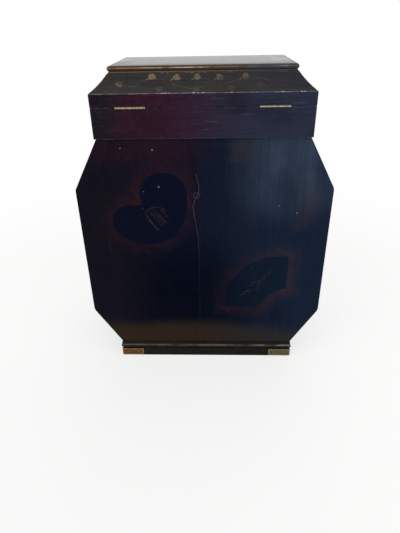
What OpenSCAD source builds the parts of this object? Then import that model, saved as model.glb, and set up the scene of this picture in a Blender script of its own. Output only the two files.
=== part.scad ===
// Lacquered tea caddy with octagonal panels, a hinged coved lid, a box lock and two canisters.
// +X is to the right seen from the hinged back, +Y points to the lock side, +Z is up.
// The origin is at the middle of the footprint, on the surface that the caddy stands on.

/* [Lid] */
// Depth across the lid rim and the neck
lid_d = 118; // [112:1:126]
// Height of the upright lid rim
rim_h = 11; // [9.5:0.5:14]
// Thickness of the rim boards
rim_t = 8; // [7.5:0.5:9]
// Height of the cove between rim and top board
cove_h = 14; // [12:0.5:18]
// How far the cove draws in on each side
cove_run = 14.6; // [12:0.2:17]
// Angle that the hollow of the cove turns through
cove_turn = 19; // [8:1:26]
// Thickness of the cove boards, square to their slope
cove_t = 8; // [6:0.5:9]
// Thickness of the flat top board
top_t = 5.5; // [4.5:0.5:8]
// Radius of the large round on the top board's upper edge
nose_r = 3.5; // [2.5:0.1:4]
// Open seam between the lid and the neck
seam = 0.2; // [0.1:0.05:0.3]

/* [Neck] */
// Height of the neck frame
neck_h = 25.8; // [24:0.2:30]
// Thickness of the neck boards
neck_t = 8; // [7.5:0.5:9]
// How far the neck stands proud of the case below it
neck_step = 1.6; // [1:0.1:2.4]

/* [Case] */
// Width across the upright sides, the widest place
case_w = 235; // [220:1:250]
// How far the neck and the lid stay inside the widest place, on each side
neck_in = 23.5; // [20:0.5:27]
// How far the foot stays inside the widest place, on each side
foot_in = 26; // [22:0.5:30]
// Height of the lower bevels
foot_bevel_h = 42.2; // [34:0.2:52]
// Height of the upright sides
side_h = 132.5; // [115:0.5:150]
// Height of the upper bevels
shoulder_h = 46; // [38:0.5:56]
// Thickness of the front and back panels
panel_t = 10; // [9:0.5:11]
// Thickness of the boards round the edge of the case
edge_t = 9; // [8:0.5:10]
// Thickness of the bottom board
bottom_t = 10; // [8:0.5:13]

/* [Plinth] */
// Height of the plinth
plinth_h = 18.8; // [17:0.2:24]
// Thickness of the plinth boards at the fascia
plinth_t = 9; // [8:0.5:12]
// How far the fascia stands proud of the foot of the case
plinth_step = 0.5; // [0.2:0.1:1.5]
// Radius of the bead along the top of the plinth
bead_r = 3.2; // [2.6:0.1:3.6]
// How far the bead stands out from the fascia
bead_out = 1.1; // [0.5:0.1:1.5]
// Height of the flat fillet above the bead
plinth_fillet = 1.6; // [1:0.1:3]
// Height of the groove under the bead
groove_h = 0.9; // [0.5:0.1:1.5]
// Depth of the groove under the bead
groove_depth = 0.8; // [0.4:0.1:1.5]

/* [Corner mounts] */
// Length of each leg of a corner mount
mount_leg = 23.5; // [18:0.5:30]
// Height of a corner mount
mount_h = 8.4; // [7:0.2:9]
// Thickness of a corner mount
mount_t = 0.7; // [0.5:0.1:1]
// Height of a corner mount above the ground
mount_z = 0.8; // [0.4:0.1:1.2]
// Width of the raised border of a corner mount
mount_border = 1.2; // [0.8:0.1:1.6]
// Depth of the sunk field inside the border
mount_sink = 0.3; // [0.2:0.05:0.4]

/* [Hinges] */
// Distance of each hinge's middle from the end of the back
hinge_in = 34; // [26:1:54]
// Length of a hinge
hinge_len = 25.4; // [20:0.2:30]
// Number of knuckles in a hinge
knuckles = 5; // [3:2:7]
// Radius of the hinge barrel
barrel_r = 1.2; // [1.1:0.05:1.5]
// Radius of the hinge pin
hinge_pin_r = 0.55; // [0.45:0.05:0.65]
// How far the hinge axis stands out from the back face
hinge_out = 0.3; // [0.2:0.05:0.6]
// Thickness of a hinge leaf
leaf_t = 0.8; // [0.6:0.1:1]
// Reach of a hinge leaf in from its axis
leaf_reach = 6.6; // [6.2:0.1:7.4]

/* [Lock] */
// Width of the lock case
lock_w = 34; // [30:1:40]
// Height of the lock case
lock_h = 19; // [18:0.5:20]
// Thickness of the lock's walls
lock_wall = 1; // [0.8:0.1:1.2]
// Wood left between the lock and the front face
lock_skin = 2; // [1.5:0.1:2.4]
// How far the lock's flange runs past each end of its case
flange_run = 5.5; // [5:0.5:7]
// Thickness of the flange and of the link plate
flange_t = 1.2; // [1:0.1:1.5]
// Thickness of a hook
hook_t = 1.6; // [1.2:0.1:2]
// Length of a hook below the lid
hook_len = 6.4; // [6:0.1:7]
// Travel of the lock bolt from open to shut
bolt_throw = 4; // [3:0.5:4.5]
// Radius of the round part of the keyhole
keyhole_r = 1.6; // [1.3:0.1:2]
// Height of the keyhole above the foot of the lock
keyhole_rise = 6; // [5.5:0.1:6.5]
// Radius of the keyhole plate
escutcheon_r = 6.5; // [6:0.5:7]

/* [Well and canisters] */
// Thickness of the well board
well_t = 5; // [4:0.5:7]
// Width of the bar between the two openings
well_bar = 5; // [4:0.5:10]
// How far the openings stay inside the case boards
well_rim = 1.2; // [0.8:0.1:3]
// Thickness of the canister walls
tin_t = 1.2; // [0.8:0.1:2]
// Radius of the canister's upright corners
tin_corner_r = 8; // [4:0.5:12]
// How far the canister's shoulder stands above the well board
tin_rise = 3; // [1.5:0.5:4]
// Outer radius of the canister's collar
collar_r = 24; // [18:0.5:28]
// Height of the canister's collar
collar_h = 8; // [6:0.5:9]
// Thickness of the cap's walls
cap_t = 1.2; // [0.8:0.1:1.6]
// Radius of the cap's knob
knob_r = 4; // [3:0.2:5]

/* [Clearances] */
// Play round a canister in its opening
canister_gap = 0.8; // [0.5:0.1:1.5]
// Play between a cap and its collar
cap_gap = 0.3; // [0.2:0.05:0.4]
// Play of let-in pieces in their recesses
fit_gap = 0.1; // [0.05:0.05:0.2]
// Play of pins, screws and spigots in their holes
pin_gap = 0.05; // [0.02:0.01:0.08]
// Play between knuckles and round the hinge barrel
hinge_gap = 0.15; // [0.1:0.05:0.25]
// Play of the bolt and the hooks inside the lock
lock_gap = 0.3; // [0.2:0.05:0.4]

/* [Hidden] */
$fn = 64;
// Overcut that carries a cut clear of the face it opens
eps = 0.5;

// Turns that place a piece on each side of a frame
BACK = 0;
RIGHT = 90;
FRONT = 180;
LEFT = 270;

// Heights of the levels, from the ground up
z_foot = plinth_h;
z_side = z_foot + foot_bevel_h;
z_shoulder = z_side + side_h;
z_neck = z_shoulder + shoulder_h;
z_joint = z_neck + neck_h;
z_neck_top = z_joint - seam / 2;
z_lid = z_joint + seam / 2;
z_cove = z_joint + rim_h;
z_top = z_cove + cove_h;
z_floor = z_foot + bottom_t;
z_well_top = z_neck + well_t;

// Outlines of the case and the lid
lid_w = case_w - 2 * neck_in;
foot_w = case_w - 2 * foot_in;
case_top_w = lid_w - 2 * neck_step;
case_d = lid_d - 2 * neck_step;
inner_d = case_d - 2 * panel_t;
plinth_w = foot_w + 2 * plinth_step;
plinth_d = case_d + 2 * plinth_step;
top_w = lid_w - 2 * cove_run;
top_d = lid_d - 2 * cove_run;

// Right-hand edge of the octagon from the neck down to the foot
OUTLINE = [
    [case_top_w / 2, z_neck],
    [case_w / 2, z_shoulder],
    [case_w / 2, z_side],
    [foot_w / 2, z_foot]
];

// Inward unit normal of a step along that edge
function inward(a, b) = [b[1] - a[1], a[0] - b[0]] / norm(b - a);

// Point at the mitre where two boards of one thickness meet
function mitre(p, n1, n2, t) = p + t * (n1 + n2) / (1 + n1 * n2);

// Point where a board's inner face meets the level of its end
function level_end(p, n, t) = p + [t / n[0], 0];

N_SHOULDER = inward(OUTLINE[0], OUTLINE[1]);
N_SIDE = inward(OUTLINE[1], OUTLINE[2]);
N_FOOT = inward(OUTLINE[2], OUTLINE[3]);

// Inner edge of the case boards, point for point with OUTLINE
INLINE = [
    level_end(OUTLINE[0], N_SHOULDER, edge_t),
    mitre(OUTLINE[1], N_SHOULDER, N_SIDE, edge_t),
    mitre(OUTLINE[2], N_SIDE, N_FOOT, edge_t),
    level_end(OUTLINE[3], N_FOOT, edge_t)
];

// Half width inside the foot bevels at a height above the foot
function foot_inside(rise) =
    INLINE[3][0] + rise * (OUTLINE[2][0] - OUTLINE[3][0]) / foot_bevel_h;

// Cove: slope of its chord, width of its board along the level, and the circle of its hollow
cove_chord = norm([cove_run, cove_h]);
cove_level_t = cove_t * cove_chord / cove_h;
cove_r = cove_chord / 2 / sin(cove_turn / 2);
cove_centre = [cove_run, cove_h] / 2 + [-cove_h, cove_run] / cove_chord * cove_r * cos(cove_turn / 2);

// Canister openings and canisters
well_in_w = lid_w - 2 * neck_t - 2 * fit_gap;
well_in_d = lid_d - 2 * neck_t - 2 * fit_gap;
well_open_w = INLINE[0][0] - well_rim - well_bar / 2;
well_open_d = inner_d - 2 * well_rim;
canister_x = (well_bar + well_open_w) / 2;
tin_w = well_open_w - 2 * canister_gap;
tin_d = well_open_d - 2 * canister_gap;
z_tin_top = z_well_top + tin_rise;
collar_in_r = collar_r - tin_t;
cap_in_r = collar_r + cap_gap;
cap_r = cap_in_r + cap_t;
// Room left above the collar inside the cap
cap_room = 0.8;
cap_h = collar_h + cap_room + cap_t;
z_cap_top = z_tin_top + cap_h;
knob_neck_r = knob_r / 2;
knob_neck_h = 2;
// How far the knob's neck runs up into its ball
knob_sink = 0.6;
knob_ball_z = knob_neck_h - knob_sink + sqrt(pow(knob_r, 2) - pow(knob_neck_r, 2));
spigot_r = 1.4;

// Hinge line
hinge_x = lid_w / 2 - hinge_in;
hinge_y = -(lid_d / 2 + hinge_out);
knuckle_len = hinge_len / knuckles;

// Screws: shank radius, head radius and length
HINGE_SCREW = [0.8, 1.5, 7];
LOCK_SCREW = [0.9, 1.7, 7.5];
slot_w = 0.4;
slot_depth = 0.3;
hinge_screw_x = hinge_len / 3;
hinge_screw_y = (barrel_r + leaf_reach) / 2;
lock_screw_x = lock_w / 2 + flange_run / 2;

// Lock: depths are taken inward from the front face
lock_cover_v = neck_t - lock_wall;
lock_cavity_v = lock_skin + lock_wall;
lock_cavity_t = lock_cover_v - lock_cavity_v;
lock_mid_v = lock_cavity_v + lock_cavity_t / 2;
flange_w = lock_w + 2 * flange_run;
z_lock = z_neck_top - lock_h;
hook_wide = lock_cavity_t - 2 * lock_gap;
eye_wide = hook_wide / 2;
eye_h = 2.2;
z_hook = z_lid - hook_len;
z_eye = z_hook + 1;
finger_t = eye_wide - 2 * lock_gap;
finger_h = eye_h - 2 * lock_gap;
finger_len = hook_t / 2 + bolt_throw;
finger_rest_gap = 0.6;
post_w = 1.8;
// Room left in the case behind the bolt's tail when the lock is open
tail_gap = 1;
bolt_tail = -(lock_w / 2 - lock_wall - tail_gap);
hook_x = -bolt_tail - post_w - finger_len - finger_rest_gap - hook_t / 2;
z_bolt_top = z_hook - lock_gap;
z_keyhole = z_lock + keyhole_rise;
bolt_t = lock_cavity_t - 2 * lock_gap;
bolt_bar_h = z_bolt_top - z_keyhole;
key_notch_w = 4;
keyhole_slot_w = 1.5;
keyhole_drop = 4;

// Escutcheon and its pins
escutcheon_t = barrel_r + hinge_out;
escutcheon_field = 0.7;
escutcheon_rim = 1;
escutcheon_pin_x = escutcheon_r - escutcheon_rim - 1.3;

// Small brass pins: shank radius, head radius, head height, shank length
PIN = [0.45, 0.8, 0.35, 5];
ESCUTCHEON_PIN_DEPTH = lock_skin - 0.2;
mount_pin_places = [0.3, 0.75];

// ---- Shared shapes ----

// Puts a piece on one side of a rectangular frame: its Y then runs inward from the outer face
module on_side(turn, w, d) {
    reach = turn % 180 == 0 ? d / 2 : w / 2;
    rotate([0, 0, turn]) translate([0, -reach, 0]) children();
}

// Outer length of the bar on one side of a frame
function side_length(turn, w, d) = turn % 180 == 0 ? w : d;

// Runs a profile (inward, up) along X and cuts both ends at 45 degrees for the mitres
module mitred_bar(length, depth, height) {
    intersection() {
        rotate([90, 0, 90]) linear_extrude(length + 2 * eps, center = true) children();
        translate([0, 0, -eps]) linear_extrude(height + 2 * eps) polygon([
            [-length / 2 - eps, -eps],
            [length / 2 + eps, -eps],
            [length / 2 - depth - eps, depth + eps],
            [-length / 2 + depth + eps, depth + eps]
        ]);
    }
}

// Stands an outline drawn as (X, Z) up in a slab of thickness t centred on Y = 0
module upright(t) {
    rotate([90, 0, 0]) linear_extrude(t, center = true) children();
}

// Countersunk screw pointing down from Z = 0, grown by play for its hole
module screw(size, play = 0) {
    sink = size[1] - size[0];
    translate([0, 0, -size[2]]) cylinder(r = size[0] + play, h = size[2]);
    translate([0, 0, -sink]) cylinder(r1 = size[0] + play, r2 = size[1] + play, h = sink);
}

// Countersunk screw with its driver slot
module slotted_screw(size) {
    difference() {
        screw(size);
        translate([-size[1] - eps, -slot_w / 2, -slot_depth]) {
            cube([2 * (size[1] + eps), slot_w, slot_depth + eps]);
        }
    }
}

// Round-headed pin pointing down from Z = 0, with its head above
module pin(depth) {
    translate([0, 0, -depth]) cylinder(r = PIN[0], h = depth);
    intersection() {
        translate([0, 0, PIN[2] - pin_head_r()]) sphere(r = pin_head_r());
        cylinder(r = PIN[1], h = PIN[2] + eps);
    }
}

// Radius of the sphere whose cap is the pin's head
function pin_head_r() = (pow(PIN[1], 2) + pow(PIN[2], 2)) / 2 / PIN[2];

// ---- Case ----

module panel(side) {
    color("#14131a") translate([0, side * (case_d - panel_t) / 2, 0]) upright(panel_t) {
        polygon(concat(OUTLINE, [for (i = [3:-1:0]) [-OUTLINE[i][0], OUTLINE[i][1]]]));
    }
}

// One board of the edge, between two neighbouring corners of the outline
module edge_board(corner, hand) {
    color("#17161c") mirror([hand < 0 ? 1 : 0, 0, 0]) upright(inner_d) {
        polygon([OUTLINE[corner], OUTLINE[corner + 1], INLINE[corner + 1], INLINE[corner]]);
    }
}

module bottom_board() {
    low = foot_inside(0);
    high = foot_inside(bottom_t);
    color("#1c1a1c") upright(inner_d) {
        polygon([[-low, z_foot], [low, z_foot], [high, z_floor], [-high, z_floor]]);
    }
}

module well_board() {
    color("#3b1a18") difference() {
        translate([-well_in_w / 2, -well_in_d / 2, z_neck]) cube([well_in_w, well_in_d, well_t]);
        for (hand = [-1, 1]) {
            translate([hand * canister_x, 0, z_neck - eps]) linear_extrude(well_t + 2 * eps) {
                rounded_plan(well_open_w, well_open_d, tin_corner_r);
            }
        }
    }
}

// ---- Neck ----

module neck_board(turn) {
    on_side(turn, lid_w, lid_d) translate([0, 0, z_neck]) {
        mitred_bar(side_length(turn, lid_w, lid_d), neck_t, neck_h) {
            square([neck_t, z_neck_top - z_neck]);
        }
    }
}

module neck_back() {
    color("#1a1418") difference() {
        neck_board(BACK);
        for (hand = [-1, 1]) at_hinge(hand) hinge_recess();
        at_hinge_screws() screw(HINGE_SCREW, pin_gap);
    }
}

module neck_right() {
    color("#15161c") neck_board(RIGHT);
}

module neck_left() {
    color("#15161c") neck_board(LEFT);
}

module neck_front() {
    color("#1a1418") difference() {
        neck_board(FRONT);
        at_front() {
            lock_pocket();
            keyhole(0, lock_skin + eps);
            at_lock_screws() screw(LOCK_SCREW, pin_gap);
            at_escutcheon_pins() translate([0, 0, -ESCUTCHEON_PIN_DEPTH]) {
                cylinder(r = PIN[0] + pin_gap, h = ESCUTCHEON_PIN_DEPTH + eps);
            }
        }
    }
}

// ---- Plinth ----

// Section of the plinth: fascia, groove, bead and fillet
module plinth_section() {
    bead_z = plinth_h - plinth_fillet - bead_r;
    difference() {
        union() {
            square([plinth_t, plinth_h]);
            intersection() {
                translate([bead_r - bead_out, bead_z]) circle(r = bead_r);
                translate([-bead_out - eps, 0]) square([plinth_t + bead_out, plinth_h]);
            }
        }
        translate([-eps, bead_z - bead_r - groove_h]) square([eps + groove_depth, groove_h]);
    }
}

module plinth_board(turn) {
    full = side_length(turn, plinth_w, plinth_d) + 2 * bead_out;
    color("#191718") difference() {
        on_side(turn, plinth_w, plinth_d) translate([0, -bead_out, 0]) {
            mitred_bar(full, plinth_t + bead_out, plinth_h) {
                translate([bead_out, 0]) plinth_section();
            }
        }
        at_mount_pins() translate([0, 0, -PIN[3]]) cylinder(r = PIN[0] + pin_gap, h = PIN[3] + eps);
    }
}

// Places a piece at each corner pin, its Z pointing out of the plinth
module at_mount_pins() {
    for (turn = [BACK, RIGHT, FRONT, LEFT], hand = [-1, 1], place = mount_pin_places) {
        reach = side_length(turn, plinth_w, plinth_d) / 2 + mount_t;
        on_side(turn, plinth_w, plinth_d) {
            translate([hand * (reach - mount_leg * place), mount_sink - mount_t, mount_z + mount_h / 2]) {
                rotate([90, 0, 0]) children();
            }
        }
    }
}

// Mirrors what is drawn in the +X +Y quarter into another one
module to_quarter(hand_x, hand_y) {
    mirror([hand_x < 0 ? 1 : 0, 0, 0]) mirror([0, hand_y < 0 ? 1 : 0, 0]) children();
}

// One brass corner: an L in plan with a sunk field in each leg
module corner_mount(hand_x, hand_y) {
    out_x = plinth_w / 2 + mount_t;
    out_y = plinth_d / 2 + mount_t;
    field_l = mount_leg - 2 * mount_border;
    field_h = mount_h - 2 * mount_border;
    color("#8a6a45") to_quarter(hand_x, hand_y) difference() {
        translate([out_x - mount_leg, out_y - mount_leg, mount_z]) {
            cube([mount_leg, mount_leg, mount_h]);
        }
        translate([out_x - mount_leg - eps, out_y - mount_leg - eps, mount_z - eps]) {
            cube([mount_leg - mount_t + eps, mount_leg - mount_t + eps, mount_h + 2 * eps]);
        }
        translate([out_x - mount_leg + mount_border, out_y - mount_sink, mount_z + mount_border]) {
            cube([field_l, mount_sink + eps, field_h]);
        }
        translate([out_x - mount_sink, out_y - mount_leg + mount_border, mount_z + mount_border]) {
            cube([mount_sink + eps, field_l, field_h]);
        }
        at_mount_pins() translate([0, 0, -mount_t]) {
            cylinder(r = PIN[0] + pin_gap, h = mount_t + eps);
        }
    }
}

module corner_pins() {
    color("#9a7a4e") at_mount_pins() pin(PIN[3] - 2 * pin_gap);
}

// ---- Hinges ----

// Places a piece at a hinge: X along the pin, Y inward from the axis
module at_hinge(hand) {
    translate([hand * hinge_x, hinge_y, z_joint]) children();
}

// Room for a leaf and the barrel below the seam
module hinge_recess() {
    translate([-hinge_len / 2 - fit_gap, hinge_out - eps, -seam / 2 - leaf_t]) {
        cube([hinge_len + 2 * fit_gap, leaf_reach + fit_gap - hinge_out + eps, leaf_t + seam]);
    }
    rotate([0, 90, 0]) {
        cylinder(r = barrel_r + hinge_gap, h = hinge_len + 2 * hinge_gap, center = true);
    }
}

// One leaf below the seam, with the knuckles whose number has the given remainder
module hinge_leaf(parity) {
    difference() {
        union() {
            translate([-hinge_len / 2, barrel_r + hinge_gap, -seam / 2 - leaf_t]) {
                cube([hinge_len, leaf_reach - barrel_r - hinge_gap, leaf_t]);
            }
            for (i = [parity : 2 : knuckles - 1]) {
                trim_low = i == 0 ? 0 : hinge_gap / 2;
                trim_high = i == knuckles - 1 ? 0 : hinge_gap / 2;
                length = knuckle_len - trim_low - trim_high;
                translate([-hinge_len / 2 + i * knuckle_len + trim_low, 0, 0]) {
                    rotate([0, 90, 0]) cylinder(r = barrel_r, h = length);
                    translate([0, 0, -seam / 2 - leaf_t]) {
                        cube([length, leaf_reach - eps, leaf_t]);
                    }
                }
            }
        }
        rotate([0, 90, 0]) {
            cylinder(r = hinge_pin_r + pin_gap, h = hinge_len + 2 * eps, center = true);
        }
        at_leaf_screws() screw(HINGE_SCREW, pin_gap);
    }
}

// Places a screw in each hole of a leaf, flush with the leaf's face
module at_leaf_screws() {
    for (side = [-1, 1]) translate([side * hinge_screw_x, hinge_screw_y, -seam / 2]) children();
}

module at_hinge_screws() {
    for (hand = [-1, 1]) at_hinge(hand) at_leaf_screws() children();
}

module hinge_case_leaf(hand) {
    color("#c9a860") at_hinge(hand) hinge_leaf(0);
}

module hinge_lid_leaf(hand) {
    color("#c9a860") at_hinge(hand) mirror([0, 0, 1]) hinge_leaf(1);
}

module hinge_pin(hand) {
    color("#b8954e") at_hinge(hand) rotate([0, 90, 0]) {
        cylinder(r = hinge_pin_r, h = hinge_len, center = true);
    }
}

module hinge_case_screws() {
    color("#b8954e") at_hinge_screws() slotted_screw(HINGE_SCREW);
}

module hinge_lid_screws() {
    color("#b8954e") above_joint() at_hinge_screws() slotted_screw(HINGE_SCREW);
}

// Mirrors what is drawn below the joint plane to above it
module above_joint() {
    translate([0, 0, 2 * z_joint]) mirror([0, 0, 1]) children();
}

// ---- Lock ----

// Local axes at the front: Y runs inward from the front face
module at_front() {
    on_side(FRONT, lid_w, lid_d) children();
}

module lock_pocket() {
    translate([-lock_w / 2 - fit_gap, lock_skin, z_lock - fit_gap]) {
        cube([lock_w + 2 * fit_gap, neck_t, lock_h + fit_gap + eps]);
    }
    flange_recess();
}

// Room for the flange below the seam
module flange_recess() {
    translate([-flange_w / 2 - fit_gap, lock_skin, z_neck_top - flange_t]) {
        cube([flange_w + 2 * fit_gap, neck_t, flange_t + eps]);
    }
}

// Keyhole cut from one depth to another, inward from the front face
module keyhole(from, to) {
    translate([0, (from + to) / 2, z_keyhole]) upright(to - from + eps) {
        circle(r = keyhole_r);
        translate([-keyhole_slot_w / 2, -keyhole_drop]) square([keyhole_slot_w, keyhole_drop]);
    }
}

// Places a screw at each end of the flange, flush with its face
module at_lock_screws() {
    for (side = [-1, 1]) translate([side * lock_screw_x, lock_mid_v, z_neck_top]) children();
}

module at_escutcheon_pins() {
    for (side = [-1, 1]) {
        translate([side * escutcheon_pin_x, 0, z_keyhole]) rotate([90, 0, 0]) children();
    }
}

module lock_case() {
    inner_w = lock_w - 2 * lock_wall;
    color("#b8954e") at_front() difference() {
        union() {
            translate([-lock_w / 2, lock_skin, z_lock]) {
                cube([lock_w, lock_cover_v - lock_skin, lock_h]);
            }
            translate([-flange_w / 2, lock_skin, z_neck_top - flange_t]) {
                cube([flange_w, neck_t - lock_skin, flange_t]);
            }
        }
        translate([-inner_w / 2, lock_cavity_v, z_lock + lock_wall]) {
            cube([inner_w, lock_cavity_t + eps, lock_h - lock_wall - flange_t]);
        }
        keyhole(lock_skin - eps, lock_cavity_v);
        for (side = [-1, 1]) {
            translate([side * hook_x - hook_t / 2 - lock_gap, lock_cavity_v, z_neck_top - 2 * flange_t]) {
                cube([hook_t + 2 * lock_gap, lock_cavity_t, 3 * flange_t]);
            }
        }
        at_lock_screws() screw(LOCK_SCREW, pin_gap);
    }
}

module lock_cover() {
    color("#a8854a") at_front() translate([-lock_w / 2, lock_cover_v, z_lock]) {
        cube([lock_w, lock_wall, lock_h - flange_t]);
    }
}

// Sliding bolt: a notched bar that the key moves, with a post and a finger for each hook
module lock_bolt() {
    color("#c9a860") at_front() difference() {
        translate([0, lock_mid_v, 0]) {
            translate([bolt_tail, -bolt_t / 2, z_bolt_top - bolt_bar_h]) {
                cube([hook_x - hook_t / 2 - bolt_tail, bolt_t, bolt_bar_h]);
            }
            for (side = [-1, 1]) {
                tip = side * hook_x - hook_t / 2 - finger_rest_gap;
                translate([tip - finger_len - post_w, -finger_t / 2, z_bolt_top - eps]) {
                    cube([post_w, finger_t, z_eye + lock_gap + finger_h - z_bolt_top + eps]);
                }
                translate([tip - finger_len - post_w, -finger_t / 2, z_eye + lock_gap]) {
                    cube([finger_len + post_w, finger_t, finger_h]);
                }
            }
        }
        translate([-key_notch_w, 0, z_keyhole - eps]) {
            cube([key_notch_w, neck_t, keyhole_r + eps]);
        }
    }
}

module lock_screws() {
    color("#b8954e") at_front() at_lock_screws() slotted_screw(LOCK_SCREW);
}

module escutcheon() {
    color("#b8954e") at_front() difference() {
        translate([0, 0, z_keyhole]) rotate([90, 0, 0]) difference() {
            cylinder(r = escutcheon_r, h = escutcheon_t);
            translate([0, 0, escutcheon_field]) {
                cylinder(r = escutcheon_r - escutcheon_rim, h = escutcheon_t);
            }
        }
        keyhole(-escutcheon_t, eps);
        at_escutcheon_pins() cylinder(r = PIN[0] + pin_gap, h = escutcheon_t + eps);
    }
}

module escutcheon_pins() {
    color("#9a7a4e") at_front() at_escutcheon_pins() {
        translate([0, 0, escutcheon_field]) pin(ESCUTCHEON_PIN_DEPTH + escutcheon_field - 2 * pin_gap);
    }
}

// Plate let into the lid, with two hooks that drop into the lock
module link_plate() {
    color("#b8954e") at_front() difference() {
        union() {
            translate([-flange_w / 2, lock_skin, z_lid]) {
                cube([flange_w, neck_t - lock_skin, flange_t]);
            }
            for (side = [-1, 1]) {
                translate([side * hook_x - hook_t / 2, lock_mid_v - hook_wide / 2, z_hook]) {
                    cube([hook_t, hook_wide, hook_len + flange_t]);
                }
            }
        }
        translate([-flange_w / 2, lock_mid_v - eye_wide / 2, z_eye]) {
            cube([flange_w, eye_wide, eye_h]);
        }
        above_joint() at_lock_screws() screw(LOCK_SCREW, pin_gap);
    }
}

module link_plate_screws() {
    color("#b8954e") at_front() above_joint() at_lock_screws() slotted_screw(LOCK_SCREW);
}

// ---- Lid ----

module rim_board(turn) {
    on_side(turn, lid_w, lid_d) translate([0, 0, z_lid]) {
        mitred_bar(side_length(turn, lid_w, lid_d), rim_t, rim_h) square([rim_t, z_cove - z_lid]);
    }
}

module lid_back() {
    color("#1a1418") difference() {
        rim_board(BACK);
        above_joint() for (hand = [-1, 1]) at_hinge(hand) hinge_recess();
        above_joint() at_hinge_screws() screw(HINGE_SCREW, pin_gap);
    }
}

module lid_right() {
    color("#15161c") rim_board(RIGHT);
}

module lid_left() {
    color("#15161c") rim_board(LEFT);
}

module lid_front() {
    color("#1a1418") difference() {
        rim_board(FRONT);
        at_front() above_joint() {
            flange_recess();
            at_lock_screws() screw(LOCK_SCREW, pin_gap);
        }
    }
}

// Section of a cove board: sloping inside, hollow outside
module cove_section() {
    difference() {
        polygon([
            [-eps, 0],
            [cove_run - eps, cove_h],
            [cove_run + cove_level_t, cove_h],
            [cove_level_t, 0]
        ]);
        translate(cove_centre) circle(r = cove_r, $fn = 180);
    }
}

module cove_board(turn) {
    color("#2a2420") on_side(turn, lid_w, lid_d) translate([0, 0, z_cove]) {
        mitred_bar(side_length(turn, lid_w, lid_d), cove_run + cove_level_t, cove_h) cove_section();
    }
}

// Section of the top board across a given width: small round below, large round above
module nose_section(width) {
    low_r = top_t - nose_r;
    translate([-(width / 2 - nose_r), 0]) square([width - 2 * nose_r, top_t]);
    translate([-(width / 2 - low_r), 0]) square([width - 2 * low_r, low_r]);
    for (side = [-1, 1]) {
        translate([side * (width / 2 - low_r), low_r]) circle(r = low_r);
        intersection() {
            translate([side * (width / 2 - nose_r), low_r]) circle(r = nose_r);
            translate([-width / 2 - eps, low_r]) square([width + 2 * eps, nose_r + eps]);
        }
    }
}

module lid_top_board() {
    color("#20201f") translate([0, 0, z_top]) intersection() {
        upright(top_d + 2 * eps) nose_section(top_w);
        rotate([0, 0, 90]) upright(top_w + 2 * eps) nose_section(top_d);
    }
}

// ---- Canisters ----

// Rectangle with round corners, centred
module rounded_plan(w, d, r) {
    square([w - 2 * r, d], center = true);
    square([w, d - 2 * r], center = true);
    for (x = [-1, 1], y = [-1, 1]) translate([x * (w / 2 - r), y * (d / 2 - r)]) circle(r = r);
}

module canister(hand) {
    inner_w = tin_w - 2 * tin_t;
    inner_l = tin_d - 2 * tin_t;
    color("#8d8f90") translate([hand * canister_x, 0, 0]) difference() {
        union() {
            translate([0, 0, z_floor]) linear_extrude(z_tin_top - z_floor) {
                rounded_plan(tin_w, tin_d, tin_corner_r);
            }
            translate([0, 0, z_tin_top]) cylinder(r = collar_r, h = collar_h);
        }
        translate([0, 0, z_floor + tin_t]) linear_extrude(z_tin_top - z_floor - 2 * tin_t) {
            rounded_plan(inner_w, inner_l, tin_corner_r - tin_t);
        }
        translate([0, 0, z_tin_top - 2 * tin_t]) cylinder(r = collar_in_r, h = collar_h + 3 * tin_t);
    }
}

module canister_cap(hand) {
    color("#9a9c9d") translate([hand * canister_x, 0, z_tin_top]) difference() {
        rotate_extrude() {
            square([cap_r - cap_t, cap_h]);
            square([cap_r, cap_h - cap_t]);
            translate([cap_r - cap_t, cap_h - cap_t]) circle(r = cap_t);
        }
        translate([0, 0, -eps]) cylinder(r = cap_in_r, h = cap_h - cap_t + eps);
        cylinder(r = spigot_r + pin_gap, h = cap_h + eps);
    }
}

module cap_knob(hand) {
    color("#a6a8a8") translate([hand * canister_x, 0, z_cap_top]) {
        rotate_extrude() {
            square([knob_neck_r, knob_neck_h]);
            intersection() {
                translate([0, knob_ball_z]) circle(r = knob_r);
                translate([0, knob_neck_h / 2]) square([knob_r, 2 * knob_r]);
            }
        }
        translate([0, 0, -cap_t]) cylinder(r = spigot_r, h = cap_t);
    }
}

// ---- Nodes ----

panel(-1);  // back_panel
panel(1);  // front_panel
edge_board(0, -1);  // left_shoulder_board
edge_board(0, 1);  // right_shoulder_board
edge_board(1, -1);  // left_side_board
edge_board(1, 1);  // right_side_board
edge_board(2, -1);  // left_foot_board
edge_board(2, 1);  // right_foot_board
bottom_board();
well_board();
neck_back();
neck_right();
neck_front();
neck_left();
plinth_board(BACK);  // plinth_back
plinth_board(RIGHT);  // plinth_right
plinth_board(FRONT);  // plinth_front
plinth_board(LEFT);  // plinth_left
corner_mount(-1, -1);  // corner_mount_back_left
corner_mount(1, -1);  // corner_mount_back_right
corner_mount(-1, 1);  // corner_mount_front_left
corner_mount(1, 1);  // corner_mount_front_right
corner_pins();
hinge_case_leaf(-1);  // left_hinge_case_leaf
hinge_case_leaf(1);  // right_hinge_case_leaf
hinge_lid_leaf(-1);  // left_hinge_lid_leaf
hinge_lid_leaf(1);  // right_hinge_lid_leaf
hinge_pin(-1);  // left_hinge_pin
hinge_pin(1);  // right_hinge_pin
hinge_case_screws();
hinge_lid_screws();
lock_case();
lock_cover();
lock_bolt();
lock_screws();
escutcheon();
escutcheon_pins();
link_plate();
link_plate_screws();
lid_back();
lid_right();
lid_front();
lid_left();
cove_board(BACK);  // cove_back
cove_board(RIGHT);  // cove_right
cove_board(FRONT);  // cove_front
cove_board(LEFT);  // cove_left
lid_top_board();
canister(-1);  // left_canister
canister(1);  // right_canister
canister_cap(-1);  // left_canister_cap
canister_cap(1);  // right_canister_cap
cap_knob(-1);  // left_cap_knob
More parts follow.
